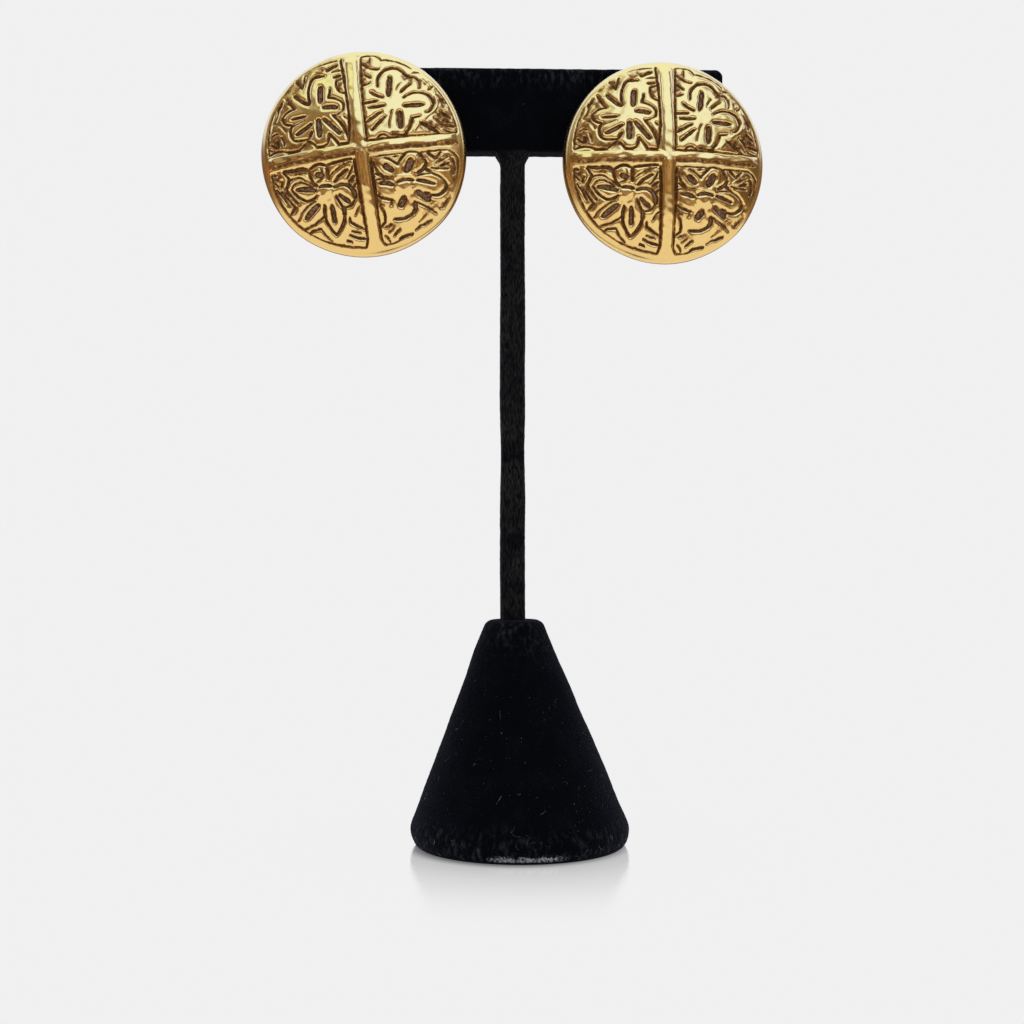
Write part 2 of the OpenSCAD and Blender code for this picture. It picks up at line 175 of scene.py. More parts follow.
# Strokes cut in the lower left panel, as rows of Cut.
CUTS_LOWER_LEFT = (
    (-15.1, -1.7, -15.1, -3.8, 0, 0.35), (-15.1, -3.8, -12.8, -9, -0.26, 0.35),
    (-12.8, -9, -10.1, -12.1, -0.15, 0.42), (-10.1, -12.1, -7.2, -13.9, -0.15, 0.4),
    (-7.2, -13.9, -1.6, -15.4, -0.2, 0.3), (-1.6, -15.4, -1.1, -14, -0.1, 0.35),
    (-1.1, -14, -1.2, -8.6, 0, 0.4), (-1.2, -8.6, -1.35, -1.7, 0, 0.5),
    (-14.8, -1.8, -14.5, -2, 0, 0.5), (-13, -1.6, -11, -1.9, 0, 0.55),
    (-11, -1.75, -9.2, -2.1, 0.15, 0.6), (-9, -2.3, -5.9, -2, 0.6, 0.45),
    (-5.9, -1.9, -1.8, -1.55, 0.1, 0.45), (-13.2, -1.8, -12.35, -3, 0.05, 0.4),
    (-12.35, -3, -13.1, -4.4, 0.1, 0.5), (-13.1, -4.4, -11.5, -7, -0.1, 0.5),
    (-13.6, -3.1, -13.9, -4, 0, 0.4), (-14.9, -3, -14.2, -3.8, 0, 0.3),
    (-14.6, -4.2, -13.1, -6.9, 0.05, 0.35), (-13.9, -4.7, -12, -7.5, 0, 0.4),
    (-12, -7.5, -12.7, -8.3, 0.05, 0.5), (-12.2, -4.7, -10.1, -6.9, -0.2, 0.45),
    (-10.1, -6.9, -8.2, -6.4, -0.25, 0.5), (-12.1, -4.6, -10.2, -4, 0.45, 0.35),
    (-10.2, -4, -8.7, -5, 0.1, 0.35), (-12.3, -3.3, -10.1, -3.4, 0.35, 0.35),
    (-10.1, -3.4, -8.2, -4.9, 0.1, 0.3), (-11.3, -2.4, -10.3, -2.7, 0.1, 0.25),
    (-11.2, -4.9, -8.5, -5.5, 0.12, 0.85), (-8.9, -2.2, -7.9, -4.9, -0.35, 0.45),
    (-7.6, -3.2, -6.9, -3.4, 0, 1), (-7, -2.4, -7.9, -4.3, 0.7, 0.25),
    (-5.85, -2.2, -5.9, -4.2, 0, 0.5), (-7.5, -5.15, -5.7, -5.3, 0.12, 0.6),
    (-8.3, -7.9, -10.4, -9.5, -0.05, 0.95), (-8.6, -7.2, -11.8, -9.6, -0.4, 0.32),
    (-7.4, -9.6, -10.9, -11, 0.3, 0.38), (-6, -8.3, -5.9, -10.8, 0, 0.75),
    (-7.2, -8.1, -7.4, -10, -0.05, 0.55), (-7.4, -10, -6, -12.8, -0.2, 0.45),
    (-6, -12.8, -4.2, -9.9, -0.4, 0.55), (-4.2, -9.9, -4.1, -8.9, 0, 0.7),
    (-4.2, -8.9, -5.1, -6.9, 0.1, 0.42), (-4.5, -6.9, -3.1, -8.2, 0, 0.75),
    (-5.2, -5.5, -3.3, -5.4, 0.15, 0.6), (-3.3, -5.4, -2.1, -7.6, 0.45, 0.8),
    (-2.1, -7.6, -4, -8.9, 0.45, 0.4), (-5, -4.7, -2.7, -3.1, 0.15, 0.55),
    (-5.5, -3.6, -2.1, -2, 0.3, 0.25), (-3, -4.6, -1.8, -2.6, -0.1, 0.35),
    (-2.7, -5, -1.8, -4.3, 0, 0.5), (-2.2, -6, -1.5, -5.5, 0, 0.35),
    (-2.5, -10.2, -1.4, -9, 0.1, 0.35), (-3.4, -10.6, -3.2, -11.5, -0.1, 0.4),
    (-3.2, -11.5, -1.4, -12.7, 0, 0.42), (-3.4, -12.7, -2.1, -13.1, 0, 0.38),
    (-3.9, -13.2, -2.6, -13.9, 0, 0.4), (-2.6, -13.9, -1.4, -14.1, 0, 0.45),
    (-4.4, -14, -3.7, -14.3, 0, 0.42), (-10.1, -11.75, -8.3, -11.5, 0.1, 0.4),
    (-8.3, -11.5, -6.8, -13.7, -0.15, 0.3), (-5.6, -14.5, -5, -14.6, 0, 0.4),
)
# Strokes cut in the lower right panel, as rows of Cut.
CUTS_LOWER_RIGHT = (
    (4.9, -6.2, 7.4, -6.1, 0.25, 0.65), (1.3, -1.7, 6.3, -1.7, 0, 0.25), (6.3, -1.8, 9.4, -2, 0.3, 0.28),
    (9.4, -1.8, 13.6, -1.7, 0, 0.3), (13.6, -1.7, 15.1, -3.3, 0.3, 0.3),
    (1.3, -1.9, 1.2, -9, 0, 0.45), (1.2, -9, 1.1, -14.4, 0, 0.35),
    (1.1, -14.4, 1.7, -15.4, -0.1, 0.35), (1.7, -15.4, 4.2, -14.9, -0.2, 0.25),
    (6.7, -13.7, 8, -13, 0, 0.3), (8, -13.1, 9.5, -12.4, 0, 0.45),
    (15.1, -3.3, 13.5, -8.6, 0.3, 0.3), (13.2, -8.9, 11.4, -10.7, 0, 0.6),
    (3.4, -3.3, 4.4, -4.2, 0, 0.95), (1.6, -2.5, 2.7, -4.7, -0.3, 0.4),
    (1.7, -4.4, 3, -5.1, 0, 0.5), (3, -5, 4.4, -5.1, -0.1, 0.3),
    (3.6, -2.1, 5.4, -3.4, 0.15, 0.4), (5.4, -3.4, 6.8, -1.8, 0.1, 0.4),
    (5, -2.1, 5.4, -2.1, 0, 0.35), (7.6, -3, 6.7, -4.4, 0, 1.25),
    (9, -2, 10, -3.6, 0.2, 0.4), (10, -3.6, 8.4, -5, 0.2, 0.6),
    (9.6, -4.4, 10.6, -5.1, 0, 0.5), (10.4, -2, 11.6, -3, 0, 0.5),
    (11.4, -2.9, 12.5, -2.1, 0, 0.35), (12, -3.5, 13.5, -2.9, 0, 0.25),
    (12.2, -4.2, 13.5, -3.8, 0, 0.4), (10.6, -4.4, 13.4, -4.7, -0.1, 0.3),
    (14.2, -3.2, 14.1, -5.5, 0.2, 0.5), (8.2, -6.15, 10.7, -6.9, 0.05, 0.6),
    (8.3, -5.5, 10.6, -5.3, 0.1, 0.3), (10.6, -5.3, 12.7, -7.2, 0.4, 0.35),
    (12.7, -7.2, 10.2, -8.7, 0.6, 0.5), (8, -8, 9.6, -9.4, 0, 1), (8.9, -8.4, 9.8, -8.7, 0, 0.9),
    (3.7, -11.7, 6.8, -11.1, -0.4, 0.52), (6.8, -11.1, 7.3, -9.6, -0.2, 0.75),
    (7.3, -9.5, 10.4, -11.4, 0.15, 0.35), (5.7, -8.7, 5, -9.7, 0, 1.1),
    (2.3, -6, 4.1, -6.4, 0.1, 0.75), (1.4, -7.8, 3.8, -8.8, -0.1, 0.45),
    (3.6, -8.7, 3.5, -9.6, 0, 0.25), (1.5, -5.4, 4.4, -5.6, 0.1, 0.25),
    (1.9, -9.8, 2.1, -12, 0.2, 0.4), (2.1, -12, 1.4, -12.6, 0, 0.35),
    (2.1, -12.8, 3, -12.5, 0, 0.4), (2.4, -13.7, 3.3, -13, 0, 0.2),
    (3.2, -14.2, 4.3, -13.3, 0, 0.4), (1.7, -14, 2.4, -15.1, 0.15, 0.3),
    (4, -14.8, 6.2, -14.3, 0.1, 0.5), (7.4, -12.7, 8.9, -11.3, 0, 0.15),
)
CUTS = tuple(
    Cut(*row) for row in CUTS_UPPER_RIGHT + CUTS_UPPER_LEFT + CUTS_LOWER_LEFT + CUTS_LOWER_RIGHT
)

# Thin raised lips beside some strokes.
LIPS = tuple(
    Cut(*row) for row in (
        (-15.0, -1.2, -1.2, -1.15, 0.0, 0.34), (1.2, -1.35, 13.4, -1.3, 0.0, 0.34),
        (13.4, -1.3, 15.3, -3.0, 0.3, 0.34), (15.3, -3.0, 14.9, -6.5, 0.1, 0.34),
        (10.9, 10.4, 12.9, 7.6, 0.2, 0.4), (12.9, 7.6, 12.9, 5.5, 0.1, 0.5),
        (12.9, 5.5, 11.6, 4.3, 0.1, 0.55), (11.6, 4.3, 9.8, 3.2, 0.1, 0.45),
        (9.8, 3.2, 8.7, 1.7, 0.1, 0.4), (-13.4, -2.0, -12.9, -3.1, 0.05, 0.3),
        (-12.9, -3.1, -13.8, -4.5, 0.1, 0.3), (-11.6, -2.3, -8.0, -4.9, 0.55, 0.34),
        (10.6, -4.4, 12.6, -2.6, 0.1, 0.3), (10.8, -4.5, 13.2, -3.4, 0.05, 0.26),
        (11.0, -4.7, 13.3, -4.3, 0.0, 0.26), (4.3, -5.6, 7.5, -5.5, 0.35, 0.34),
        (4.4, -7.5, 5.9, -8.4, -0.1, 0.26), (7.5, -7.3, 6.0, -8.4, 0.1, 0.26),
        (8.3, -2.3, 7.6, -4.6, 0.5, 0.34), (2.4, -2.4, 4.3, -3.6, 0.3, 0.34),
        (4.6, -5.0, 2.6, -4.3, 0.2, 0.3),
    )
)

# Raised centres of the flowers.
MOUNDS = tuple(
    Mound(*row) for row in (
        (-7.1, -6.0, 1.5, 1.3, 20.0, 0.3), (5.95, -6.75, 1.75, 1.6, 0.0, 0.34),
        (-7.2, -3.3, 1.3, 1.2, 0.0, 0.15),
    )
)

# Rough, stained grounds between the flowers.
GROUNDS = tuple(
    Mound(*row) for row in (
        (-13.6, 3.2, 2.2, 1.6, -60.0, 0.95), (-12.4, 8.9, 1.4, 0.7, 60.0, 0.8),
        (-10.6, 11.5, 1.4, 0.6, 48.0, 0.8), (-8.6, 12.6, 1.4, 0.8, 30.0, 0.8),
        (-10.1, 1.7, 3.2, 0.8, 0.0, 0.6), (-12.6, 6.3, 1.0, 1.6, 0.0, 0.35),
        (13.6, 3.3, 3.0, 2.0, 110.0, 1.0), (11.2, 2.3, 2.6, 1.5, -15.0, 1.0),
        (13.7, 6.4, 2.1, 1.0, -68.0, 0.9), (8.9, 10.7, 1.7, 1.1, -30.0, 0.9),
        (11.6, 9.6, 1.6, 0.7, -50.0, 0.7), (2.6, 13.8, 1.2, 1.3, 0.0, 0.8),
        (-14.2, -2.8, 1.4, 1.0, -60.0, 0.85), (-7.4, -3.3, 1.7, 1.4, 0.0, 0.3),
        (12.9, -3.0, 2.3, 1.3, 0.0, 0.65), (14.0, -5.4, 2.4, 0.8, 96.0, 0.7),
        (12.1, -9.9, 1.7, 0.8, 42.0, 0.7), (-2.0, -6.6, 0.6, 1.4, 0.0, 0.5),
        (9.0, -8.8, 1.1, 0.9, -40.0, 0.6), (-12.9, 5.8, 2.4, 0.9, 62.0, 0.8),
        (-11.1, 9.1, 2.2, 0.9, 50.0, 0.8), (-8.4, 11.9, 2.4, 1.0, 38.0, 0.75),
        (-5.0, 14.0, 2.2, 0.9, 18.0, 0.7), (-9.5, 1.9, 4.5, 0.8, 0.0, 0.75),
        (-2.1, 3.2, 0.8, 1.8, 0.0, 0.6), (-2.2, 11.2, 1.0, 2.2, 0.0, 0.65),
        (1.9, 11.9, 0.9, 2.6, 0.0, 0.85), (2.0, 4.2, 0.8, 2.0, 0.0, 0.35),
        (5.0, 1.7, 3.0, 0.6, 0.0, 0.6), (-13.5, -4.8, 1.0, 2.4, 20.0, 0.8),
        (-10.2, -2.2, 2.8, 0.8, -5.0, 0.7), (-3.4, -2.4, 1.8, 0.9, 25.0, 0.8),
        (-2.0, -5.3, 0.9, 1.9, 0.0, 0.8), (-12.2, -7.7, 0.9, 2.0, 35.0, 0.6),
        (-2.3, -12.6, 1.2, 1.4, 0.0, 0.35), (2.3, -2.6, 1.5, 1.3, 0.0, 0.8),
        (1.9, -8.7, 0.9, 3.2, 0.0, 0.85), (3.1, -5.2, 1.3, 0.9, 0.0, 0.7),
        (9.3, -2.7, 1.8, 1.2, 0.0, 0.75), (12.6, -3.9, 2.4, 1.6, -30.0, 0.85),
        (9.6, -10.7, 2.6, 1.0, 40.0, 0.6), (3.2, -12.9, 1.8, 1.1, 20.0, 0.6),
        (12.6, -8.6, 1.6, 0.8, 60.0, 0.5),
    )
)


def smooth(start: float, end: float, value: Array) -> Array:
    """Returns 0 at start and 1 at end, with level ends, for each value."""
    t = np.clip((value - start) / (end - start), 0.0, 1.0)
    return t * t * (3.0 - 2.0 * t)


def soften(grid: Array, passes: int) -> Array:
    """Rounds off the crests and corners of a grid of heights.

    Args:
        grid: heights in rows and columns.
        passes: how many times each height is mixed with its neighbours'.

    Returns:
        The new heights.
    """
    for _ in range(passes):
        wide = np.pad(grid, 1, mode="edge")
        rows = (wide[:-2] + 2.0 * wide[1:-1] + wide[2:]) / 4.0
        grid = (rows[:, :-2] + 2.0 * rows[:, 1:-1] + rows[:, 2:]) / 4.0
    return grid


@dataclass(frozen=True)
class Ripple:
    """Gentle unevenness of a hand-finished surface, as a sum of seeded waves.

    Attributes:
        length: typical wave length, in mm.
        height: swing that the sum seldom passes, in mm.
        spread: shortest and longest wave, as shares of length.
    """

    seed: int
    length: float
    height: float
    waves: int = 14
    spread: Span = (0.6, 1.7)

    def at(self, u: Array, v: Array) -> Array:
        """Works out the unevenness.

        Args:
            u: places one way along the surface.
            v: places the other way along it.

        Returns:
            The height at each place, in mm.
        """
        rng = random.Random(self.seed)
        total = np.zeros_like(u)
        for _ in range(self.waves):
            turn = rng.uniform(0.0, math.tau)
            number = math.tau / (self.length * rng.uniform(*self.spread))
            phase = rng.uniform(0.0, math.tau)
            total += np.sin(number * (u * math.cos(turn) + v * math.sin(turn)) + phase)
        return total * self.height / math.sqrt(2.0 * self.waves)


class Shells:
    """Closed shells gathered into one mesh, in millimetres."""

    def __init__(self) -> None:
        """Starts with no shells."""
        self.points: list[Array] = []
        self.masks: list[Array] = []
        self.faces: Faces = []
        self.slots: list[int] = []
        self.count = 0

    def add(
        self,
        shell: Shell,
        spot: Triple = (0.0, 0.0, 0.0),
        mask: Array | None = None,
        slots: Sequence[int] = (),
    ) -> None:
        """Adds a shell.

        Args:
            shell: points as rows of x, y and z, and faces as corner numbers, from 0 within the shell.
            spot: where the shell's own origin goes.
            mask: a value a point, kept in the mesh for the material. None is 0 all over.
            slots: material number of each face. Empty is the first material all over.
        """
        points, faces = shell
        self.points.append(points + spot)
        self.masks.append(np.zeros(len(points)) if mask is None else mask)
        self.faces.extend(tuple(i + self.count for i in face) for face in faces)
        self.slots.extend(slots or [0] * len(faces))
        self.count += len(points)

    def to_object(self, name: str, materials: Sequence[Material], mask_name: str) -> Piece:
        """Makes the object.

        Args:
            name: the piece's name.
            materials: one for each slot number.
            mask_name: attribute that holds the masks.

        Returns:
            The object, linked and smooth shaded, in metres.
        """
        points = np.vstack(self.points) * MM
        mesh = bpy.data.meshes.new(name)
        mesh.from_pydata(points.tolist(), [], self.faces)
        for material in materials:
            mesh.materials.append(material)
        mesh.polygons.foreach_set("material_index", self.slots)
        mesh.shade_smooth()
        layer = mesh.attributes.new(mask_name, "FLOAT", "POINT")
        layer.data.foreach_set("value", np.concatenate(self.masks).astype(np.float32))
        mesh.validate()
        mesh.update()
        piece = bpy.data.objects.new(name, mesh)
        bpy.context.scene.collection.objects.link(piece)
        return piece


def settle(piece: Piece, slot: Slot, *nodes: str) -> Piece:
    """Lets a piece ride on the stand and stand for the nodes it replaces.

    Args:
        piece: the object.
        slot: not used.
        *nodes: nodes of the frame that it replaces, if any.

    Returns:
        The same object.
    """
    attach(piece, "root")
    if nodes:
        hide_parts(*nodes)
    return piece


def axis_marks(size: float, radius: float, step: float, bends: int) -> list[float]:
    """Spaces out places along one side of a block, closer together over its round edges.

    Args:
        size: length of the side.
        radius: of the edges.
        step: spacing on the flat part.
        bends: places over half a round edge.

    Returns:
        The places about 0, from end to end.
    """
    flat = size / 2 - radius
    arc = [radius * math.tan(QUARTER / 2 * k / bends) for k in range(1, bends + 1)]
    steps = max(1, round(2 * flat / step))
    middle = [-flat + 2 * flat * k / steps for k in range(steps + 1)]
    return [-flat - a for a in reversed(arc)] + middle + [flat + a for a in arc]


def soft_block(size: Triple, radius: float, step: float, bends: int = 3) -> Shell:
    """Makes a block with round edges and corners, centred, with an even grid on its faces.

    Args:
        size: lengths along x, y and z.
        radius: of the edges.
        step: grid spacing on the flat parts.
        bends: grid cells over half a round edge.

    Returns:
        Points and faces.
    """
    marks = [axis_marks(length, radius, step, bends) for length in size]
    numbers: dict[tuple[int, ...], int] = {}
    faces: Faces = []
    for axis in range(3):
        one, two = (axis + 1) % 3, (axis + 2) % 3
        for end in (0, len(marks[axis]) - 1):
            for i in range(len(marks[one]) - 1):
                for j in range(len(marks[two]) - 1):
                    corners = [(i, j), (i + 1, j), (i + 1, j + 1), (i, j + 1)]
                    if end == 0:
                        corners.reverse()
                    face = []
                    for a, b in corners:
                        key = [0, 0, 0]
                        key[axis], key[one], key[two] = end, a, b
                        face.append(numbers.setdefault(tuple(key), len(numbers)))
                    faces.append(tuple(face))
    points = np.array([[marks[k][key[k]] for k in range(3)] for key in numbers])
    inner = np.array(size) / 2 - radius
    core = np.clip(points, -inner, inner)
    out = points - core
    return core + radius * out / np.linalg.norm(out, axis=1, keepdims=True), faces


def lathe(profile: Sequence[Span], sides: int) -> Shell:
    """Turns an outline about the z axis.

    Args:
        profile: radius and height pairs. A closed shell starts and ends at radius 0.
        sides: points round each ring.

    Returns:
        Points and faces, outward where the profile runs anticlockwise.
    """
    points: list[Triple] = []
    rings: list[list[int]] = []
    for radius, height in profile:
        if radius == 0:
            rings.append([len(points)] * sides)
            points.append((0.0, 0.0, height))
            continue
        rings.append(list(range(len(points), len(points) + sides)))
        for k in range(sides):
            turn = math.tau * k / sides
            points.append((radius * math.cos(turn), radius * math.sin(turn), height))
    faces: Faces = []
    for low, high in zip(rings, rings[1:]):
        for k in range(sides):
            n = (k + 1) % sides
            ring = dict.fromkeys((low[k], low[n], high[n], high[k]))
            if len(ring) > 2:
                faces.append(tuple(ring))
    return np.array(points), faces


def ring_lathe(profile: Sequence[Span], sides: int) -> Shell:
    """Turns a closed outline that stays clear of the z axis, such as a tube's wall.

    Args:
        profile: radius and height pairs, once round the outline.
        sides: points round each ring.

    Returns:
        Points and faces.
    """
    points, faces = lathe([*profile, profile[0]], sides)
    count = len(profile) * sides
    merged = [tuple(i % count for i in face) for face in faces]
    return points[:count], merged


def soft_corner(radius: float, height: float, soft: float, out: int = 1, up: int = 1) -> list[Span]:
    """Rounds a corner of a turned profile.

    Args:
        radius: of the corner.
        height: of the corner.
        soft: how far the rounding reaches along each side.
        out: 1 where the solid is nearer the axis than the corner, -1 where it is farther out.
        up: 1 where the solid is above the corner, -1 where it is below.

    Returns:
        Radius and height pairs, from the flat end to the round side.
    """
    bend = 0.3 * soft
    middle = (radius - out * bend, height + up * bend)
    return [(radius - out * soft, height), middle, (radius, height + up * soft)]


def plate(outline: Sequence[Span], thick: float, bevel: float) -> Shell:
    """Makes a flat plate with softened edges, centred on z = 0.

    Args:
        outline: x and y pairs, anticlockwise.
        thick: thickness along z.
        bevel: width of the softened edge.

    Returns:
        Points and faces.
    """
    shape = bmesh.new()
    low = [shape.verts.new((x, y, -thick / 2)) for x, y in outline]
    high = [shape.verts.new((x, y, thick / 2)) for x, y in outline]
    shape.faces.new(low[::-1])
    shape.faces.new(high)
    for k in range(len(outline)):
        n = (k + 1) % len(outline)
        shape.faces.new((low[k], low[n], high[n], high[k]))
    rim = [e for e in shape.edges if abs(e.verts[0].co.z - e.verts[1].co.z) < thick / 2]
    bmesh.ops.bevel(
        shape, geom=rim, offset=bevel, segments=3, profile=0.5, affect="EDGES", clamp_overlap=True
    )
    shape.verts.index_update()
    points = np.array([v.co[:] for v in shape.verts])
    faces = [tuple(v.index for v in f.verts) for f in shape.faces]
    shape.free()
    return points, faces


def bridge(first: int, second: int, count: int) -> Faces:
    """Joins two rings of points with quads.

    Args:
        first: number of the first point of one ring.
        second: number of the first point of the next ring.
        count: points round each ring.

    Returns:
        The faces.
    """
    turns = [(k, (k + 1) % count) for k in range(count)]
    return [(first + k, first + n, second + n, second + k) for k, n in turns]


def sweep(path: Array, across: Vector, width: float, thick: float, radius: float) -> Shell:
    """Makes a flat strip with round edges along a path in one plane.

    Args:
        path: rows of points.
        across: direction of the strip's width, square to the path.
        width: of the strip.
        thick: of the strip.
        radius: of its long edges.

    Returns:
        Points and faces, closed at both ends.
    """
    section = []
    arc_steps = 4
    for corner, (sx, sy) in enumerate(((1, 1), (-1, 1), (-1, -1), (1, -1))):
        for k in range(arc_steps + 1):
            turn = QUARTER * (corner + k / arc_steps)
            x = sx * (width / 2 - radius) + radius * math.cos(turn)
            y = sy * (thick / 2 - radius) + radius * math.sin(turn)
            section.append((x, y))
    side = np.array(across)
    tangents = np.gradient(path, axis=0)
    tangents /= np.linalg.norm(tangents, axis=1, keepdims=True)
    points = []
    for spot, tangent in zip(path, tangents):
        normal = np.cross(tangent, side)
        points.extend(spot + x * side + y * normal for x, y in section)
    count = len(section)
    faces: Faces = [tuple(range(count))[::-1], tuple(range(len(points) - count, len(points)))]
    for row in range(len(path) - 1):
        faces += bridge(row * count, (row + 1) * count, count)
    return np.array(points), faces


def thread(spots: Sequence[Vector], radius: float, sides: int) -> Shell:
    """Makes a thin round thread through some places, pointed at both ends.

    Args:
        spots: the places, in order.
        radius: of the thread.
        sides: points round it.

    Returns:
        Points and faces.
    """
    line = np.array([s[:] for s in spots])
    tangents = np.gradient(line, axis=0)
    tangents /= np.linalg.norm(tangents, axis=1, keepdims=True)
    aside = (0.31, 0.17, 0.93)
    points = [line[0]]
    for spot, tangent in zip(line[1:-1], tangents[1:-1]):
        one = np.cross(tangent, aside)
        one /= np.linalg.norm(one)
        two = np.cross(tangent, one)
        for k in range(sides):
            turn = math.tau * k / sides
            points.append(spot + radius * (math.cos(turn) * one + math.sin(turn) * two))
    points.append(line[-1])
    last = len(points) - 1
    rows = [1 + r * sides for r in range(len(line) - 2)]
    faces: Faces = []
    for k in range(sides):
        n = (k + 1) % sides
        faces += [(0, 1 + n, 1 + k), (rows[-1] + k, rows[-1] + n, last)]
    for low, high in zip(rows, rows[1:]):
        faces += bridge(low, high, sides)
    return np.array(points), faces


def turned(points: Array, matrix: Matrix) -> Array:
    """Returns points after a 4x4 matrix whose lengths are in millimetres."""
    array = np.array(matrix)
    return points @ array[:3, :3].T + array[:3, 3]


def along_x(shell: Shell) -> Shell:
    """Returns a shell that was made about z, laid so that its axis runs along x."""
    points, faces = shell
    return points[:, [2, 0, 1]], faces


class Nodes:
    """A node tree under construction, with short ways to place and join its nodes."""

    def __init__(self, tree: bpy.types.NodeTree) -> None:
        """Takes over a tree and clears it."""
        self.tree = tree
        tree.nodes.clear()

    def add(self, kind: str, inputs: dict | None = None, **settings: object) -> bpy.types.Node:
        """Places a node.

        Args:
            kind: Blender's node type.
            inputs: socket name or number to a constant, or to the output socket that feeds it.
            **settings: the node's own properties.

        Returns:
            The node.
        """
        node = self.tree.nodes.new(kind)
        for key, value in settings.items():
            setattr(node, key, value)
        for key, value in (inputs or {}).items():
            if isinstance(value, Socket):
                self.tree.links.new(value, node.inputs[key])
            else:
                node.inputs[key].default_value = value
        return node

    def math(self, operation: str, *values: object) -> Socket:
        """Returns the result of a Math node."""
        return self.add("ShaderNodeMath", dict(enumerate(values)), operation=operation).outputs[0]

    def ramp(self, value: object, start: object, end: object) -> Socket:
        """Returns 0 where value is at start and 1 where it is at end, with level ends."""
        inputs = {"Value": value, "From Min": start, "From Max": end}
        return self.add("ShaderNodeMapRange", inputs, interpolation_type="SMOOTHSTEP").outputs["Result"]

    def blend(self, share: object, start: object, end: object) -> Socket:
        """Returns a number that goes from start to end as share goes from 0 to 1."""
        return self.add("ShaderNodeMix", {0: share, 2: start, 3: end}, data_type="FLOAT").outputs[0]

    def tint(self, share: object, start: object, end: object) -> Socket:
        """Returns a colour that goes from start to end as share goes from 0 to 1."""
        colours = {6 + k: (*c, 1.0) if isinstance(c, tuple) else c for k, c in enumerate((start, end))}
        return self.add("ShaderNodeMix", {0: share, **colours}, data_type="RGBA").outputs[2]

    def place(self) -> Socket:
        """Returns the place on the object, in metres."""
        return self.add("ShaderNodeTexCoord").outputs["Object"]

    def mask(self, name: str) -> Socket:
        """Returns a mask that the mesh holds."""
        return self.add("ShaderNodeAttribute", attribute_name=name).outputs["Fac"]

    def noise(self, place: object, size: float, detail: float = 2.0) -> Socket:
        """Returns noise about 0.5 whose lumps measure size mm, at a place in metres."""
        inputs = {"Vector": place, "Scale": 1.0 / (size * MM), "Detail": detail}
        return self.add("ShaderNodeTexNoise", inputs).outputs["Fac"]

    def stretched(self, place: object, scale: Triple) -> Socket:
        """Returns a place in metres after a scale, which draws out a pattern where it is under 1."""
        return self.add("ShaderNodeMapping", {"Vector": place, "Scale": scale}).outputs[0]

    def bump(self, height: object, strength: float, depth: float) -> Socket:
        """Returns the normal over a height of 0 to 1 that stands for depth mm."""
        inputs = {"Height": height, "Strength": strength, "Distance": depth * MM}
        return self.add("ShaderNodeBump", inputs).outputs[0]

    def surface(self, shader: str, inputs: dict) -> None:
        """Places a shader and gives it to the material's surface."""
        self.add("ShaderNodeOutputMaterial", {"Surface": self.add(shader, inputs).outputs[0]})


def new_group(name: str, inputs: dict[str, float], outputs: Sequence[str]) -> tuple[Nodes, bpy.types.Node]:
    """Starts a shader node group.

    Args:
        name: of the group.
        inputs: number sockets, with the value each starts from.
        outputs: number sockets.

    Returns:
        Its nodes, and the node that gives its inputs.
    """
    tree = bpy.data.node_groups.new(name, "ShaderNodeTree")
    nodes = Nodes(tree)
    for label, value in inputs.items():
        socket = tree.interface.new_socket(label, in_out="INPUT", socket_type="NodeSocketFloat")
        socket.default_value = value
    for label in outputs:
        tree.interface.new_socket(label, in_out="OUTPUT", socket_type="NodeSocketFloat")
    return nodes, nodes.add("NodeGroupInput")


def build_mottle() -> bpy.types.NodeTree:
    """Builds a soft blotchy mask, for uneven polish, dirt and crushed pile.

    Returns:
        The group.
    """
    nodes, given = new_group("mottle", {"Scale": 800.0, "Low": 0.4, "High": 0.6}, ["Mask"])
    inputs = {"Vector": nodes.place(), "Scale": given.outputs["Scale"], "Detail": 3.0}
    clouds = nodes.add("ShaderNodeTexNoise", inputs).outputs["Fac"]
    mask = nodes.ramp(clouds, given.outputs["Low"], given.outputs["High"])
    nodes.add("NodeGroupOutput", {"Mask": mask})
    return nodes.tree


def build_polish_lines() -> bpy.types.NodeTree:
    """Builds the faint hairlines that polishing and handling leave on metal, as a height.

    Returns:
        The group.
    """
    nodes, given = new_group("polish_lines", {"Scale": 1500.0, "Stretch": 0.06}, ["Height"])
    turns = (0.4, 1.5, 2.6)
    total = 0.0
    for turn in turns:
        scale = nodes.add("ShaderNodeCombineXYZ", {0: 1.0, 1: 1.0, 2: given.outputs["Stretch"]})
        inputs = {"Vector": nodes.place(), "Rotation": (0.0, turn, 0.0), "Scale": scale.outputs[0]}
        laid = nodes.add("ShaderNodeMapping", inputs).outputs[0]
        inputs = {"Vector": laid, "Scale": given.outputs["Scale"], "Detail": 2.0}
        lines = nodes.add("ShaderNodeTexNoise", inputs).outputs["Fac"]
        total = nodes.math("ADD", total, lines)
    nodes.add("NodeGroupOutput", {"Height": nodes.math("DIVIDE", total, float(len(turns)))})
    return nodes.tree


class Blotches(NamedTuple):
    """Values for the mottle group: lumps a metre, and the noise where the mask starts and is full."""

    scale: float
    low: float
    high: float


class Hairlines(NamedTuple):
    """Values for the polish lines group: lines a metre, and how much finer they are across than along."""

    scale: float
    stretch: float


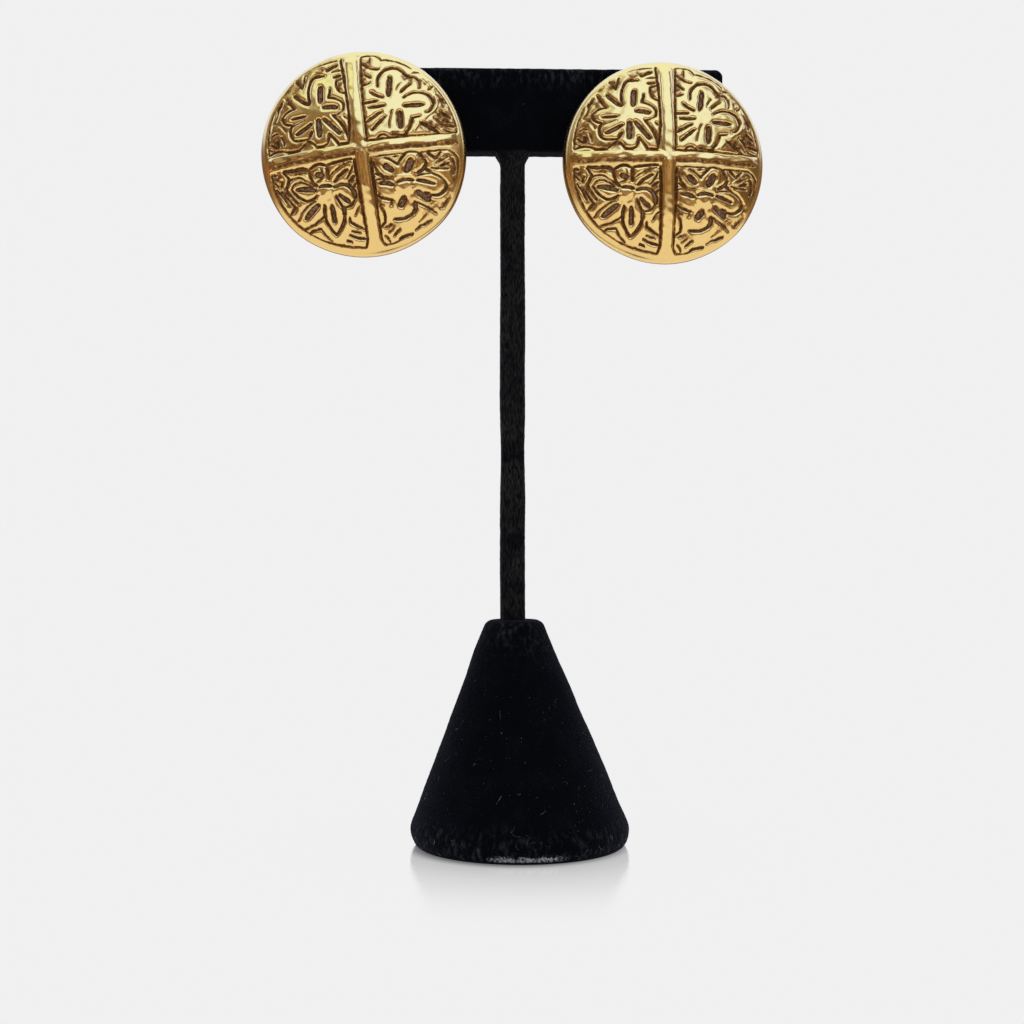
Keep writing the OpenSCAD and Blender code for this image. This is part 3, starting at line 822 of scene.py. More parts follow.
class Effects:
    """The shared node groups, each built once."""

    def __init__(self) -> None:
        """Builds the groups."""
        self.mottle = build_mottle()
        self.polish_lines = build_polish_lines()

    def mottled(self, nodes: Nodes, blotches: Blotches) -> Socket:
        """Returns the blotchy mask, placed in a material with its own values."""
        inputs = {"Scale": blotches.scale, "Low": blotches.low, "High": blotches.high}
        return nodes.add("ShaderNodeGroup", inputs, node_tree=self.mottle).outputs["Mask"]

    def polished(self, nodes: Nodes, lines: Hairlines) -> Socket:
        """Returns the hairlines' height, placed in a material with its own values."""
        inputs = {"Scale": lines.scale, "Stretch": lines.stretch}
        return nodes.add("ShaderNodeGroup", inputs, node_tree=self.polish_lines).outputs["Height"]


def new_material(name: str) -> tuple[Material, Nodes]:
    """Starts a node material.

    Args:
        name: of the material.

    Returns:
        The material and its nodes.
    """
    material = bpy.data.materials.new(name)
    material.use_nodes = True
    return material, Nodes(material.node_tree)


@dataclass(frozen=True)
class AntiquedGold:
    """Polished gold tone with dark antiquing left in the recesses of the relief.

    The mesh's recess mask sets how much antiquing a place holds: 0 on the polished tops, 1 in a
    cut, more on the floor of a wide one, and less than 0 on the rim. It also holds painted shade
    on the lower half of the level rib, which takes the same dark brown.

    Attributes:
        crumb: size of the ragged edge of the antiquing.
        load: size of the patches that hold more or less of it.
        powder: size of the pale deposit's lumps on wide floors.
    """

    gold: Colour = (0.94, 0.65, 0.245)
    copper: Colour = (0.8, 0.36, 0.16)
    stain: Colour = (0.52, 0.27, 0.088)
    brown: Colour = (0.22, 0.1, 0.026)
    antiquing: Colour = (0.092, 0.038, 0.008)
    deposit: Colour = (0.3, 0.17, 0.105)
    polished: float = 0.13
    handled: float = 0.21
    dull: float = 0.5
    rim: float = 0.24
    gloss: float = 0.14
    brown_metal: float = 0.45
    copper_share: float = 0.6
    crumb: float = 0.28
    crumb_share: float = 0.5
    load: float = 0.7
    load_span: Span = (0.32, 0.6)
    load_share: Span = (0.55, 1.16)
    stain_span: Span = (0.06, 0.38)
    brown_span: Span = (0.27, 0.64)
    dirt_span: Span = (0.54, 0.95)
    floor_span: Span = (1.0, 1.24)
    rim_span: Span = (-0.05, -0.8)
    powder: float = 0.4
    powder_span: Span = (0.36, 0.66)
    grain: float = 0.12
    grain_share: float = 6.0
    bump: Span = (0.25, 0.006)
    coppery: Blotches = Blotches(300.0, 0.62, 0.8)
    uneven: Blotches = Blotches(1100.0, 0.35, 0.7)
    lines: Hairlines = Hairlines(2600.0, 0.05)

    def build(self, effects: Effects) -> Material:
        """Builds the finish.

        Args:
            effects: the shared node groups.

        Returns:
            The material.
        """
        material, nodes = new_material("antiqued_gold")
        place = nodes.place()
        # The recess mask holds the antiquing, and the painted shade on the lower half of the level rib.
        recess = nodes.mask(RECESS_AND_SHADE)
        crumbs = nodes.math("SUBTRACT", nodes.noise(place, self.crumb, detail=3.0), 0.5)
        load = nodes.blend(nodes.ramp(nodes.noise(place, self.load), *self.load_span), *self.load_share)
        held = nodes.math("MULTIPLY_ADD", crumbs, self.crumb_share, nodes.math("MULTIPLY", recess, load))
        brown = nodes.ramp(held, *self.brown_span)
        dirt = nodes.ramp(held, *self.dirt_span)
        copper = nodes.math("MULTIPLY", effects.mottled(nodes, self.coppery), self.copper_share)
        metal = nodes.tint(copper, self.gold, self.copper)
        stained = nodes.tint(nodes.ramp(held, *self.stain_span), metal, self.stain)
        powder = nodes.ramp(nodes.noise(place, self.powder, detail=3.0), *self.powder_span)
        floor = nodes.math("MULTIPLY", nodes.ramp(recess, *self.floor_span), powder)
        dark = nodes.tint(floor, self.antiquing, self.deposit)
        sheen = nodes.blend(effects.mottled(nodes, self.uneven), self.polished, self.handled)
        sheen = nodes.blend(nodes.ramp(recess, *self.rim_span), sheen, self.rim)
        grain = nodes.math("MULTIPLY", nodes.noise(place, self.grain), dirt)
        height = nodes.math("MULTIPLY_ADD", grain, self.grain_share, effects.polished(nodes, self.lines))
        nodes.surface("ShaderNodeBsdfPrincipled", {
            "Base Color": nodes.tint(dirt, nodes.tint(brown, stained, self.brown), dark),
            "Metallic": nodes.blend(brown, 1.0, self.brown_metal),
            "Roughness": nodes.blend(brown, sheen, self.dull),
            "Specular IOR Level": self.gloss,
            "Normal": nodes.bump(height, *self.bump),
        })
        return material


@dataclass(frozen=True)
class PlainGold:
    """Gold tone without antiquing: the cast back, the soldered fittings and the clips."""

    gold: Colour = (0.9, 0.61, 0.26)
    worn: Colour = (0.82, 0.55, 0.25)
    bright: float = 0.22
    dull: float = 0.42
    pit: float = 0.35
    pit_share: float = 1.6
    bump: Span = (0.35, 0.02)
    uneven: Blotches = Blotches(420.0, 0.25, 0.8)
    lines: Hairlines = Hairlines(1800.0, 0.08)

    def build(self, effects: Effects) -> Material:
        """Builds the finish.

        Args:
            effects: the shared node groups.

        Returns:
            The material.
        """
        material, nodes = new_material("plain_gold")
        uneven = effects.mottled(nodes, self.uneven)
        pits = nodes.math("MULTIPLY", nodes.noise(nodes.place(), self.pit), self.pit_share)
        height = nodes.math("ADD", effects.polished(nodes, self.lines), pits)
        nodes.surface("ShaderNodeBsdfPrincipled", {
            "Base Color": nodes.tint(uneven, self.gold, self.worn),
            "Metallic": 1.0,
            "Roughness": nodes.blend(uneven, self.bright, self.dull),
            "Normal": nodes.bump(height, *self.bump),
        })
        return material


@dataclass(frozen=True)
class Velvet:
    """Short-pile black velvet, with crushed patches, dust in the pile and a worn lower edge.

    The mesh's worn mask sets how hazy the pile is, up to about 0.25, and how frayed, up to 1. The haze is
    dust low on the base and painted light along the tops of the base and the bar.

    Attributes:
        crush_share: how much the tufts show outside a crushed patch, and how much more within it.
    """

    name: str
    pile: Colour = (0.001, 0.0012, 0.0022)
    crushed: Colour = (0.0034, 0.0038, 0.0058)
    dust: Colour = (0.09, 0.09, 0.095)
    # haze: colour of the lighter pile, dust low on the base and painted light along the tops of the base
    # and the bar.
    haze: Colour = (0.034, 0.035, 0.042)
    backing: Colour = (0.3, 0.285, 0.28)
    crush: Blotches = Blotches(260.0, 0.42, 0.7)
    crush_share: Span = (0.25, 0.75)
    tuft: float = 0.3
    tuft_span: Span = (0.3, 0.72)
    draw: Triple = (1.0, 1.0, 1.0)
    smear: Triple = (1.0, 1.0, 0.45)
    haze_size: float = 0.75
    haze_span: Span = (0.46, 0.78)
    haze_share: Span = (0.45, 0.55)
    haze_mask_span: Span = (0.0, 0.25)
    speck_gap: float = 1.5
    speck_span: Span = (0.09, 0.04)
    dusty: Blotches = Blotches(330.0, 0.58, 0.64)
    fray: float = 0.4
    fray_span: Span = (0.3, 0.62)
    crush_height: float = 0.5
    bump: Span = (0.8, 0.12)
    roughness: float = 0.95
    gloss: float = 0.04
    sheen: float = 0.05
    sheen_roughness: float = 0.26
    sheen_tint: Colour = (0.6, 0.65, 0.8)

    def build(self, effects: Effects) -> Material:
        """Builds the finish.

        Args:
            effects: the shared node groups.

        Returns:
            The material.
        """
        material, nodes = new_material(self.name)
        place = nodes.place()
        worn = nodes.mask(WORN_AND_LIT)
        crushed = effects.mottled(nodes, self.crush)
        tufts = nodes.noise(nodes.stretched(place, self.draw), self.tuft, detail=4.0)
        tufts = nodes.ramp(tufts, *self.tuft_span)
        pressed = nodes.math("MULTIPLY_ADD", crushed, self.crush_share[1], self.crush_share[0])
        pile = nodes.tint(nodes.math("MULTIPLY", pressed, tufts), self.pile, self.crushed)
        # Haze: dust low on the base, and painted light along the tops of the base and the bar, as the worn
        # mask sets.
        grey = nodes.noise(nodes.stretched(place, self.smear), self.haze_size, detail=5.0)
        grey = nodes.ramp(grey, *self.haze_span)
        hazy = nodes.math("MULTIPLY_ADD", crushed, self.haze_share[1], self.haze_share[0])
        hazy = nodes.math("MULTIPLY", nodes.math("MULTIPLY", grey, hazy), nodes.ramp(worn, *self.haze_mask_span))
        cells = nodes.add("ShaderNodeTexVoronoi", {"Vector": place, "Scale": 1.0 / (self.speck_gap * MM)})
        specks = nodes.ramp(cells.outputs["Distance"], *self.speck_span)
        specks = nodes.math("MULTIPLY", specks, effects.mottled(nodes, self.dusty))
        frayed = nodes.math("MULTIPLY", worn, nodes.noise(place, self.fray, detail=5.0))
        cloth = nodes.tint(specks, nodes.tint(hazy, pile, self.haze), self.dust)
        nodes.surface("ShaderNodeBsdfPrincipled", {
            "Base Color": nodes.tint(nodes.ramp(frayed, *self.fray_span), cloth, self.backing),
            "Roughness": self.roughness,
            "Specular IOR Level": self.gloss,
            "Sheen Weight": self.sheen,
            "Sheen Roughness": self.sheen_roughness,
            "Sheen Tint": (*self.sheen_tint, 1.0),
            "Normal": nodes.bump(nodes.math("MULTIPLY_ADD", crushed, self.crush_height, tufts), *self.bump),
        })
        return material


@dataclass(frozen=True)
class Lint:
    """Pale fibres and fluff that cling to the velvet."""

    pale: Colour = (0.3, 0.3, 0.31)
    grey: Colour = (0.05, 0.05, 0.055)
    roughness: float = 0.9
    shades: Blotches = Blotches(700.0, 0.5, 0.72)

    def build(self, effects: Effects) -> Material:
        """Builds the finish.

        Args:
            effects: the shared node groups.

        Returns:
            The material.
        """
        material, nodes = new_material("lint")
        colour = nodes.tint(effects.mottled(nodes, self.shades), self.grey, self.pale)
        nodes.surface("ShaderNodeBsdfPrincipled", {"Base Color": colour, "Roughness": self.roughness})
        return material


class Finishes:
    """Every finish of the object, built once."""

    def __init__(self) -> None:
        """Builds the shared effects and then the materials."""
        effects = Effects()
        self.antiqued = AntiquedGold().build(effects)
        self.plain = PlainGold().build(effects)
        self.velvet = Velvet("black_velvet").build(effects)
        self.post_velvet = Velvet(
            "post_velvet",
            crushed=(0.021, 0.02, 0.02),
            crush=Blotches(260.0, 0.3, 0.6),
            draw=(1.6, 1.6, 0.3),
            sheen=0.12,
        ).build(effects)
        self.lint = Lint().build(effects)


@dataclass(frozen=True)
class Relief:
    """The cast relief of one face: cut strokes, thin lips beside them, soft mounds and rough grounds.

    Attributes:
        stain_span: distances from the edge where a stroke's antiquing starts and is full.
        ground_even: share of a ground's stain that is there on its high spots too.
        rough_span: heights of the roughness where the rest of it starts and is full.
        taper_share: share of a stroke's length over which it narrows to its tip.
    """

    shoulder_drop: float = 0.13
    shoulder_width: float = 0.42
    wall_drop: float = 0.33
    wall_span: Span = (0.02, -0.2)
    full_width: float = 0.45
    stain_span: Span = (0.11, -0.11)
    floor_span: Span = (-0.12, -0.34)
    floor_stain: float = 0.3
    lip_height: float = 0.15
    lip_reach: float = 0.4
    lip_clear: float = 0.85
    ground_drop: float = 0.1
    ground_stain: float = 0.95
    ground_even: float = 0.4
    rough_span: Span = (0.08, -0.06)
    outer_radius: float = 15.7
    fade: float = 0.25
    stroke_steps: int = 10
    end_taper: float = 0.8
    taper_share: float = 0.15
    ground_core: float = 0.15
    mound_core: float = 0.5
    wander: Ripple = Ripple(seed=11, length=1.3, height=0.045)
    wander_too: Ripple = Ripple(seed=12, length=1.2, height=0.045)
    rough: Ripple = Ripple(seed=13, length=0.8, height=0.12)
    cast: Ripple = Ripple(seed=14, length=1.5, height=0.016)

    def near(self, u: Array, v: Array, cut: Cut, reach: float) -> tuple[Array, Array]:
        """Measures how far places are from a stroke's edge.

        Args:
            u: places, to the right.
            v: places, up.
            cut: the stroke.
            reach: how far outside the stroke places still count.

        Returns:
            The numbers of the places that are near, and their distance, negative inside.
        """
        start = np.array([cut.u1, cut.v1])
        run = np.array([cut.u2, cut.v2]) - start
        t = np.linspace(0.0, 1.0, self.stroke_steps + 1)[:, None]
        left = np.array([-run[1], run[0]]) / np.linalg.norm(run)
        line = start + t * run + 4.0 * t * (1.0 - t) * cut.bow * left
        low, high = line.min(0) - reach - cut.width, line.max(0) + reach + cut.width
        near = np.nonzero((u > low[0]) & (u < high[0]) & (v > low[1]) & (v < high[1]))[0]
        places = np.stack([u[near], v[near]], 1)
        ends = np.minimum(1.0, np.minimum(t, 1.0 - t)[:, 0] / self.taper_share)
        half = cut.width / 2 * (self.end_taper + (1.0 - self.end_taper) * ends)
        best = np.full(len(near), np.inf)
        for k in range(self.stroke_steps):
            edge = line[k + 1] - line[k]
            share = np.clip((places - line[k]) @ edge / (edge @ edge), 0.0, 1.0)
            gap = places - line[k] - share[:, None] * edge
            best = np.minimum(best, np.hypot(*gap.T) - half[k] - share * (half[k + 1] - half[k]))
        return near, best

    def depth(self, distance: Array, width: float) -> Array:
        """Works out a stroke's section: a rounded shoulder and a steep wall.

        Args:
            distance: from the stroke's edge, negative inside.
            width: of the stroke.

        Returns:
            The depth at each distance.
        """
        scale = min(1.0, width / self.full_width) ** 0.5
        shoulder = self.shoulder_drop * (1.0 - np.clip(distance / self.shoulder_width, 0.0, 1.0)) ** 2
        return scale * (shoulder + self.wall_drop * smooth(*self.wall_span, distance))

    def mound(self, u: Array, v: Array, mound: Mound, core: float) -> Array:
        """Works out a mound, or how strong a rough ground is.

        Args:
            u: places, to the right.
            v: places, up.
            mound: the patch.
            core: share of its half lengths within which it is full.

        Returns:
            The height or strength at each place.
        """
        turn = math.radians(mound.turn)
        du, dv = u - mound.u, v - mound.v
        a = (du * math.cos(turn) + dv * math.sin(turn)) / mound.along
        b = (dv * math.cos(turn) - du * math.sin(turn)) / mound.across
        return mound.height * smooth(1.0, core, np.hypot(a, b))

    def rise(self, u: Array, v: Array) -> tuple[Array, Array]:
        """Works out the relief.

        Args:
            u: places, to the right.
            v: places, up.

        Returns:
            The height over the dome, and the recess mask that holds the antiquing.
        """
        u2, v2 = u + self.wander.at(u, v), v + self.wander_too.at(u, v)
        depth, recess, ground, raised = (np.zeros_like(u) for _ in range(4))
        for cut in CUTS:
            near, distance = self.near(u2, v2, cut, self.shoulder_width)
            depth[near] = np.maximum(depth[near], self.depth(distance, cut.width))
            floor = self.floor_stain * smooth(*self.floor_span, distance)
            recess[near] = np.maximum(recess[near], smooth(*self.stain_span, distance) + floor)
        for patch in GROUNDS:
            ground = np.maximum(ground, self.mound(u2, v2, patch, self.ground_core))
        for lip in LIPS:
            near, distance = self.near(u2, v2, lip, 0.0)
            reach = min(lip.width, self.lip_reach) / 2
            raised[near] = np.maximum(raised[near], smooth(0.0, -reach, distance))
        ground *= 1.0 - self.lip_clear * raised
        rough = self.rough.at(u, v)
        spots = self.ground_even + (1.0 - self.ground_even) * smooth(*self.rough_span, rough)
        recess = np.maximum(recess, self.ground_stain * ground * spots)
        lift = np.maximum(ground * (rough - self.ground_drop), self.lip_height * raised)
        for mound in MOUNDS:
            lift += self.mound(u2, v2, mound, self.mound_core)
        inside = smooth(self.outer_radius + self.fade, self.outer_radius, np.hypot(u, v))
        return (lift - depth + self.cast.at(u, v)) * inside, recess * inside


@dataclass(frozen=True)
class Ribs:
    """The two ribs that cross on the face, flat-topped, a little wavy, with painted shade on the lower half
    of the level rib.

    Attributes:
        foot_high: heights where the painted shade on the level rib's lower half starts and is full, from
            above.
        foot_low: the same from below.
    """

    height: float = 0.34
    upright_span: Span = (-1.1, 1.12)
    level_span: Span = (-1.0, 0.92)
    squareness: float = 2.6
    crown: float = 0.75
    end_radius: float = 15.7
    end_fade: float = 1.2
    painted_shade: float = 0.75
    foot_high: Span = (0.0, -0.65)
    foot_low: Span = (-1.12, -0.9)
    dent_squash: float = 2.4
    wander: Ripple = Ripple(seed=21, length=5.0, height=0.12)
    waves: Ripple = Ripple(seed=22, length=4.0, height=0.045)
    dents: Ripple = Ripple(seed=23, length=3.6, height=0.06)

    def top(self, across: Array, along: Array, span: Span) -> Array:
        """Works out the section of one rib.

        Args:
            across: places across the rib.
            along: places along it.
            span: its two edges.

        Returns:
            1 on its middle line and 0 outside its edges.
        """
        middle, half = sum(span) / 2, (span[1] - span[0]) / 2
        share = (across - middle + self.wander.at(along, across * 0.0)) / half
        return 1.0 - np.abs(np.clip(share, -1.0, 1.0)) ** self.squareness

    def rise(self, u: Array, v: Array) -> tuple[Array, Array]:
        """Works out both ribs.

        Args:
            u: places, to the right.
            v: places, up.

        Returns:
            The height over the dome, and the painted shade on the lower half of the level rib.
        """
        upright, level = self.top(u, v, self.upright_span), self.top(v, u, self.level_span)
        top = np.maximum(upright, level)
        dents = self.dents.at(u, v * self.dent_squash) * np.maximum(level - upright, 0.0)
        shape = self.height * top**self.crown + self.waves.at(u, v) * top + dents
        low = v + self.wander.at(u, u * 0.0)
        # Painted shade: darker antiquing on the level rib's lower half, which faces down.
        foot = smooth(*self.foot_high, low) * smooth(*self.foot_low, low)
        inside = smooth(self.end_radius, self.end_radius - self.end_fade, np.hypot(u, v))
        return shape * inside, self.painted_shade * foot * (1.0 - upright) * inside


@dataclass(frozen=True)
class Dome:
    """The hollow casting, which the relief and the ribs are laid on.

    Attributes:
        rim_mask: how far inside the rim the recess mask starts to fall and has fallen by 1.
        swells: where the rim stands out of round: turn from +u in degrees, height, and spread in degrees.
    """

    radius: float = 16.7
    rise: float = 5.7
    sphere: float = 41.5
    roll: float = 1.6
    wall: float = 1.3
    rim_wall: float = 1.4
    foot_round: float = 0.35
    hollow_soft: float = 0.15
    face_edge: float = 0.2
    rim_mask: Span = (1.05, 0.5)
    swells: tuple[Triple, ...] = ((220.0, 0.18, 18.0), (318.0, 0.2, 15.0), (268.0, 0.08, 30.0))
    swell_in: Span = (3.0, 0.5)
    face_cells: int = 134
    soft_passes: int = 1
    roll_cells: int = 7
    foot_cells: int = 3
    back_share: int = 4
    hollow_cells: int = 12

    def swell(self, turn: Array) -> Array:
        """Works out how far the rim stands out of round.

        Args:
            turn: turns from +u, in radians.

        Returns:
            The distance at each turn.
        """
        total = np.zeros_like(turn)
        for middle, height, spread in self.swells:
            away = (np.degrees(turn) - middle + 180.0) % 360.0 - 180.0
            total += height * np.exp(-((away / spread) ** 2))
        return total

    def face_rings(self) -> list[Span]:
        """Works out the casting's outer section.

        Returns:
            Radius and height of each ring, from the middle of the face to the rim's back edge.
        """
        middle = self.rise - self.sphere
        roll_r = self.radius - self.roll
        roll_w = middle + math.sqrt((self.sphere - self.roll) ** 2 - roll_r**2)
        meet = math.asin(roll_r / (self.sphere - self.roll))
        edge = self.sphere * math.sin(meet)
        rings = []
        for k in range(self.face_cells + 1):
            r = edge * k / self.face_cells
            rings.append((r, middle + math.sqrt(self.sphere**2 - r**2)))
        for k in range(1, self.roll_cells + 1):
            turn = meet + (QUARTER - meet) * k / self.roll_cells
            rings.append((roll_r + self.roll * math.sin(turn), roll_w + self.roll * math.cos(turn)))
        foot_r = self.radius - self.foot_round
        for k in range(self.foot_cells + 1):
            turn = QUARTER * k / self.foot_cells
            out, down = self.foot_round * math.cos(turn), self.foot_round * math.sin(turn)
            rings.append((foot_r + out, self.foot_round - down))
        return rings

    def hollow_rings(self) -> list[Span]:
        """Works out the section of the hollow back.

        Returns:
            Radius and height of each ring, from the rim's edge inward.
        """
        inner, soft = self.radius - self.rim_wall, self.hollow_soft
        middle, sphere = self.rise - self.sphere, self.sphere - self.wall
        top = middle + math.sqrt(sphere**2 - inner**2)
        rings = [*soft_corner(inner, 0.0, soft, out=-1), (inner, top - 2 * soft)]
        for k in range(self.hollow_cells):
            r = (inner - soft) * (1.0 - k / self.hollow_cells)
            rings.append((r, middle + math.sqrt(sphere**2 - r**2)))
        return rings

    def turns(self, i: Array, j: Array) -> Array:
        """Lays a square grid out as rings.

        Args:
            i: cell numbers along u, 0 in the middle.
            j: cell numbers along v.

        Returns:
            The turn from +u at which each grid point lies on its ring, in radians.
        """
        with np.errstate(divide="ignore", invalid="ignore"):
            flat = QUARTER / 2 * j / i + math.pi * (i < 0)
            steep = QUARTER - QUARTER / 2 * i / j + math.pi * (j < 0)
        return np.nan_to_num(np.where(abs(i) >= abs(j), flat, steep))

    def build(self, shells: Shells, relief: Relief, ribs: Ribs, waver: Ripple) -> None:
        """Adds the casting: the face in the first material and the hollow back in the second.

        Args:
            shells: what it is added to.
            relief: of the face.
            ribs: of the face.
            waver: unevenness of the face.
        """
        rings = np.array(self.face_rings())
        n = len(rings) - 1
        side = 2 * n + 1
        steps = np.arange(-n, n + 1)
        i, j = (g.ravel() for g in np.meshgrid(steps, steps, indexing="ij"))
        turn = self.turns(i, j)
        radius, height = rings[np.maximum(abs(i), abs(j))].T
        u, v = radius * np.cos(turn), radius * np.sin(turn)
        relief_h, recess = relief.rise(u, v)
        relief_h = soften(relief_h.reshape(side, side), self.soft_passes).ravel()
        # The ribs also give the painted shade on the level rib's lower half.
        ribs_h, stain = ribs.rise(u, v)
        on_face = smooth(self.radius - self.face_edge, self.radius - self.roll, radius)
        on_face = on_face * (height > self.foot_round)
        w = height + (relief_h + ribs_h + waver.at(u, v)) * on_face
        # The recess mask takes that painted shade along with the antiquing, and falls below 0 at the rim.
        recess = np.maximum(recess, stain) - smooth(*(self.radius - x for x in self.rim_mask), radius)
        swelling = smooth(*(self.radius - x for x in self.swell_in), radius)
        grown = 1.0 + self.swell(turn) * swelling / self.radius
        points = np.stack([u * grown, v * grown, w], 1)
        number = np.arange(side * side).reshape(side, side)
        quads = np.stack([number[:-1, :-1], number[1:, :-1], number[1:, 1:], number[:-1, 1:]], -1)
        faces = [tuple(q) for q in quads.reshape(-1, 4).tolist()]
        rim = np.concatenate([number[-1, :-1], number[:0:-1, -1], number[0, :0:-1], number[:-1, 0]])
        back_points, back_faces = self.back(rim.tolist(), points)
        shell = np.vstack([points, back_points]), faces + back_faces
        mask = np.concatenate([recess, np.zeros(len(back_points))])
        shells.add(shell, mask=mask, slots=[0] * len(faces) + [1] * len(back_faces))
        LOG.info("casting: %d face cells, %d back cells", len(faces), len(back_faces))

    def back(self, rim: list[int], points: Array) -> Shell:
        """Closes the casting behind.

        Args:
            rim: numbers of the points on the rim's back edge, anticlockwise from the front.
            points: all points so far.

        Returns:
            More points, and faces between them and the rim.
        """
        count = len(rim) // self.back_share
        coarse = points[rim[:: self.back_share]]
        turns = np.arctan2(coarse[:, 1], coarse[:, 0])
        made = []
        rows = []
        for radius, height in self.hollow_rings():
            rows.append([len(points) + len(made) + k for k in range(count)])
            made.extend((radius * math.cos(t), radius * math.sin(t), height) for t in turns)
        middle = len(points) + len(made)
        made.append((0.0, 0.0, self.rise - self.wall))
        faces: Faces = []
        for k in range(count):
            n = (k + 1) % count
            first = k * self.back_share
            fine = [rim[(first + s) % len(rim)] for s in range(self.back_share, 0, -1)]
            faces.append((rim[first], rows[0][k], rows[0][n], *fine))
            for low, high in zip(rows, rows[1:]):
                faces.append((low[k], high[k], high[n], low[n]))
            faces.append((rows[-1][k], middle, rows[-1][n]))
        return np.array(made), faces


@dataclass(frozen=True)
class Fittings:
    """What is soldered into the hollow: strap, seat for the bar, hinge ears and hinge pin.

    Attributes:
        ear_from: inner face of an ear, out from the middle.
        sunk: how far the seat and the ears reach into the strap.
        pin_bend: where the pin's domed end bends, as shares of pin_r and of pin_end.
    """

    strap: Triple = (8.2, 31.2, 1.2)
    strap_w: float = 0.3
    strap_soft: float = 0.25
    strap_step: float = 1.2
    solder: Triple = (7.4, 0.9, 0.9)
    solder_in: float = 0.6
    solder_soft: float = 0.42
    solder_step: float = 0.8
    seat_r: float = 3.2
    seat_w: float = -0.8
    seat_soft: float = 0.18
    seat_sides: int = 48
    ear_r: float = 1.4
    ear_t: float = 0.9
    ear_from: float = 2.7
    ear_soft: float = 0.16
    ear_steps: int = 16
    sunk: float = 0.2
    pin_r: float = 0.6
    pin_l: float = 7.8
    pin_end: float = 0.25
    pin_bend: Span = (0.6, 0.3)
    pin_sides: int = 32

    def build(self, shells: Shells) -> None:
        """Adds the fittings to shells, in the disc's frame.

        Args:
            shells: what they are added to.
        """
        strap = soft_block(self.strap, self.strap_soft, self.strap_step)
        shells.add(strap, (0.0, 0.0, self.strap_w + self.strap[2] / 2))
        for end in (-1, 1):
            spot = (0.0, end * (self.strap[1] / 2 - self.solder_in), self.strap_w + self.strap[2])
            shells.add(soft_block(self.solder, self.solder_soft, self.solder_step), spot)
        shells.add(self.seat(), (0.0, GRIP_V, 0.0))
        for end in (-1, 1):
            ear = along_x(plate(self.ear_outline(), self.ear_t, self.ear_soft))
            shells.add(ear, (end * (self.ear_from + self.ear_t / 2), 0.0, 0.0))
        shells.add(along_x(self.pin()), (0.0, HINGE_V, HINGE_W))

    def seat(self) -> Shell:
        """Draws the round seat that the bar is pressed against.

        Returns:
            Points and faces, about the z axis.
        """
        top = self.strap_w + self.sunk
        corner = soft_corner(self.seat_r, self.seat_w, self.seat_soft)
        return lathe([(0.0, self.seat_w), *corner, (self.seat_r, top), (0.0, top)], self.seat_sides)

    def ear_outline(self) -> list[Span]:
        """Draws a hinge ear: round below, square where it meets the strap.

        Returns:
            The outline's v and w pairs.
        """
        outline = []
        for k in range(self.ear_steps + 1):
            turn = math.pi + math.pi * k / self.ear_steps
            outline.append((HINGE_V + self.ear_r * math.cos(turn), HINGE_W + self.ear_r * math.sin(turn)))
        top = self.strap_w + self.sunk
        return [*outline, (HINGE_V + self.ear_r, top), (HINGE_V - self.ear_r, top)]

    def pin(self) -> Shell:
        """Draws the hinge pin, with domed ends.

        Returns:
            Points and faces, about the z axis.
        """
        half, straight = self.pin_l / 2, self.pin_l / 2 - self.pin_end
        bend_r, bend_z = self.pin_bend[0] * self.pin_r, half - self.pin_bend[1] * self.pin_end
        profile = [(0.0, -half), (bend_r, -bend_z), (self.pin_r, -straight)]
        profile += [(self.pin_r, straight), (bend_r, bend_z), (0.0, half)]
        return lathe(profile, self.pin_sides)


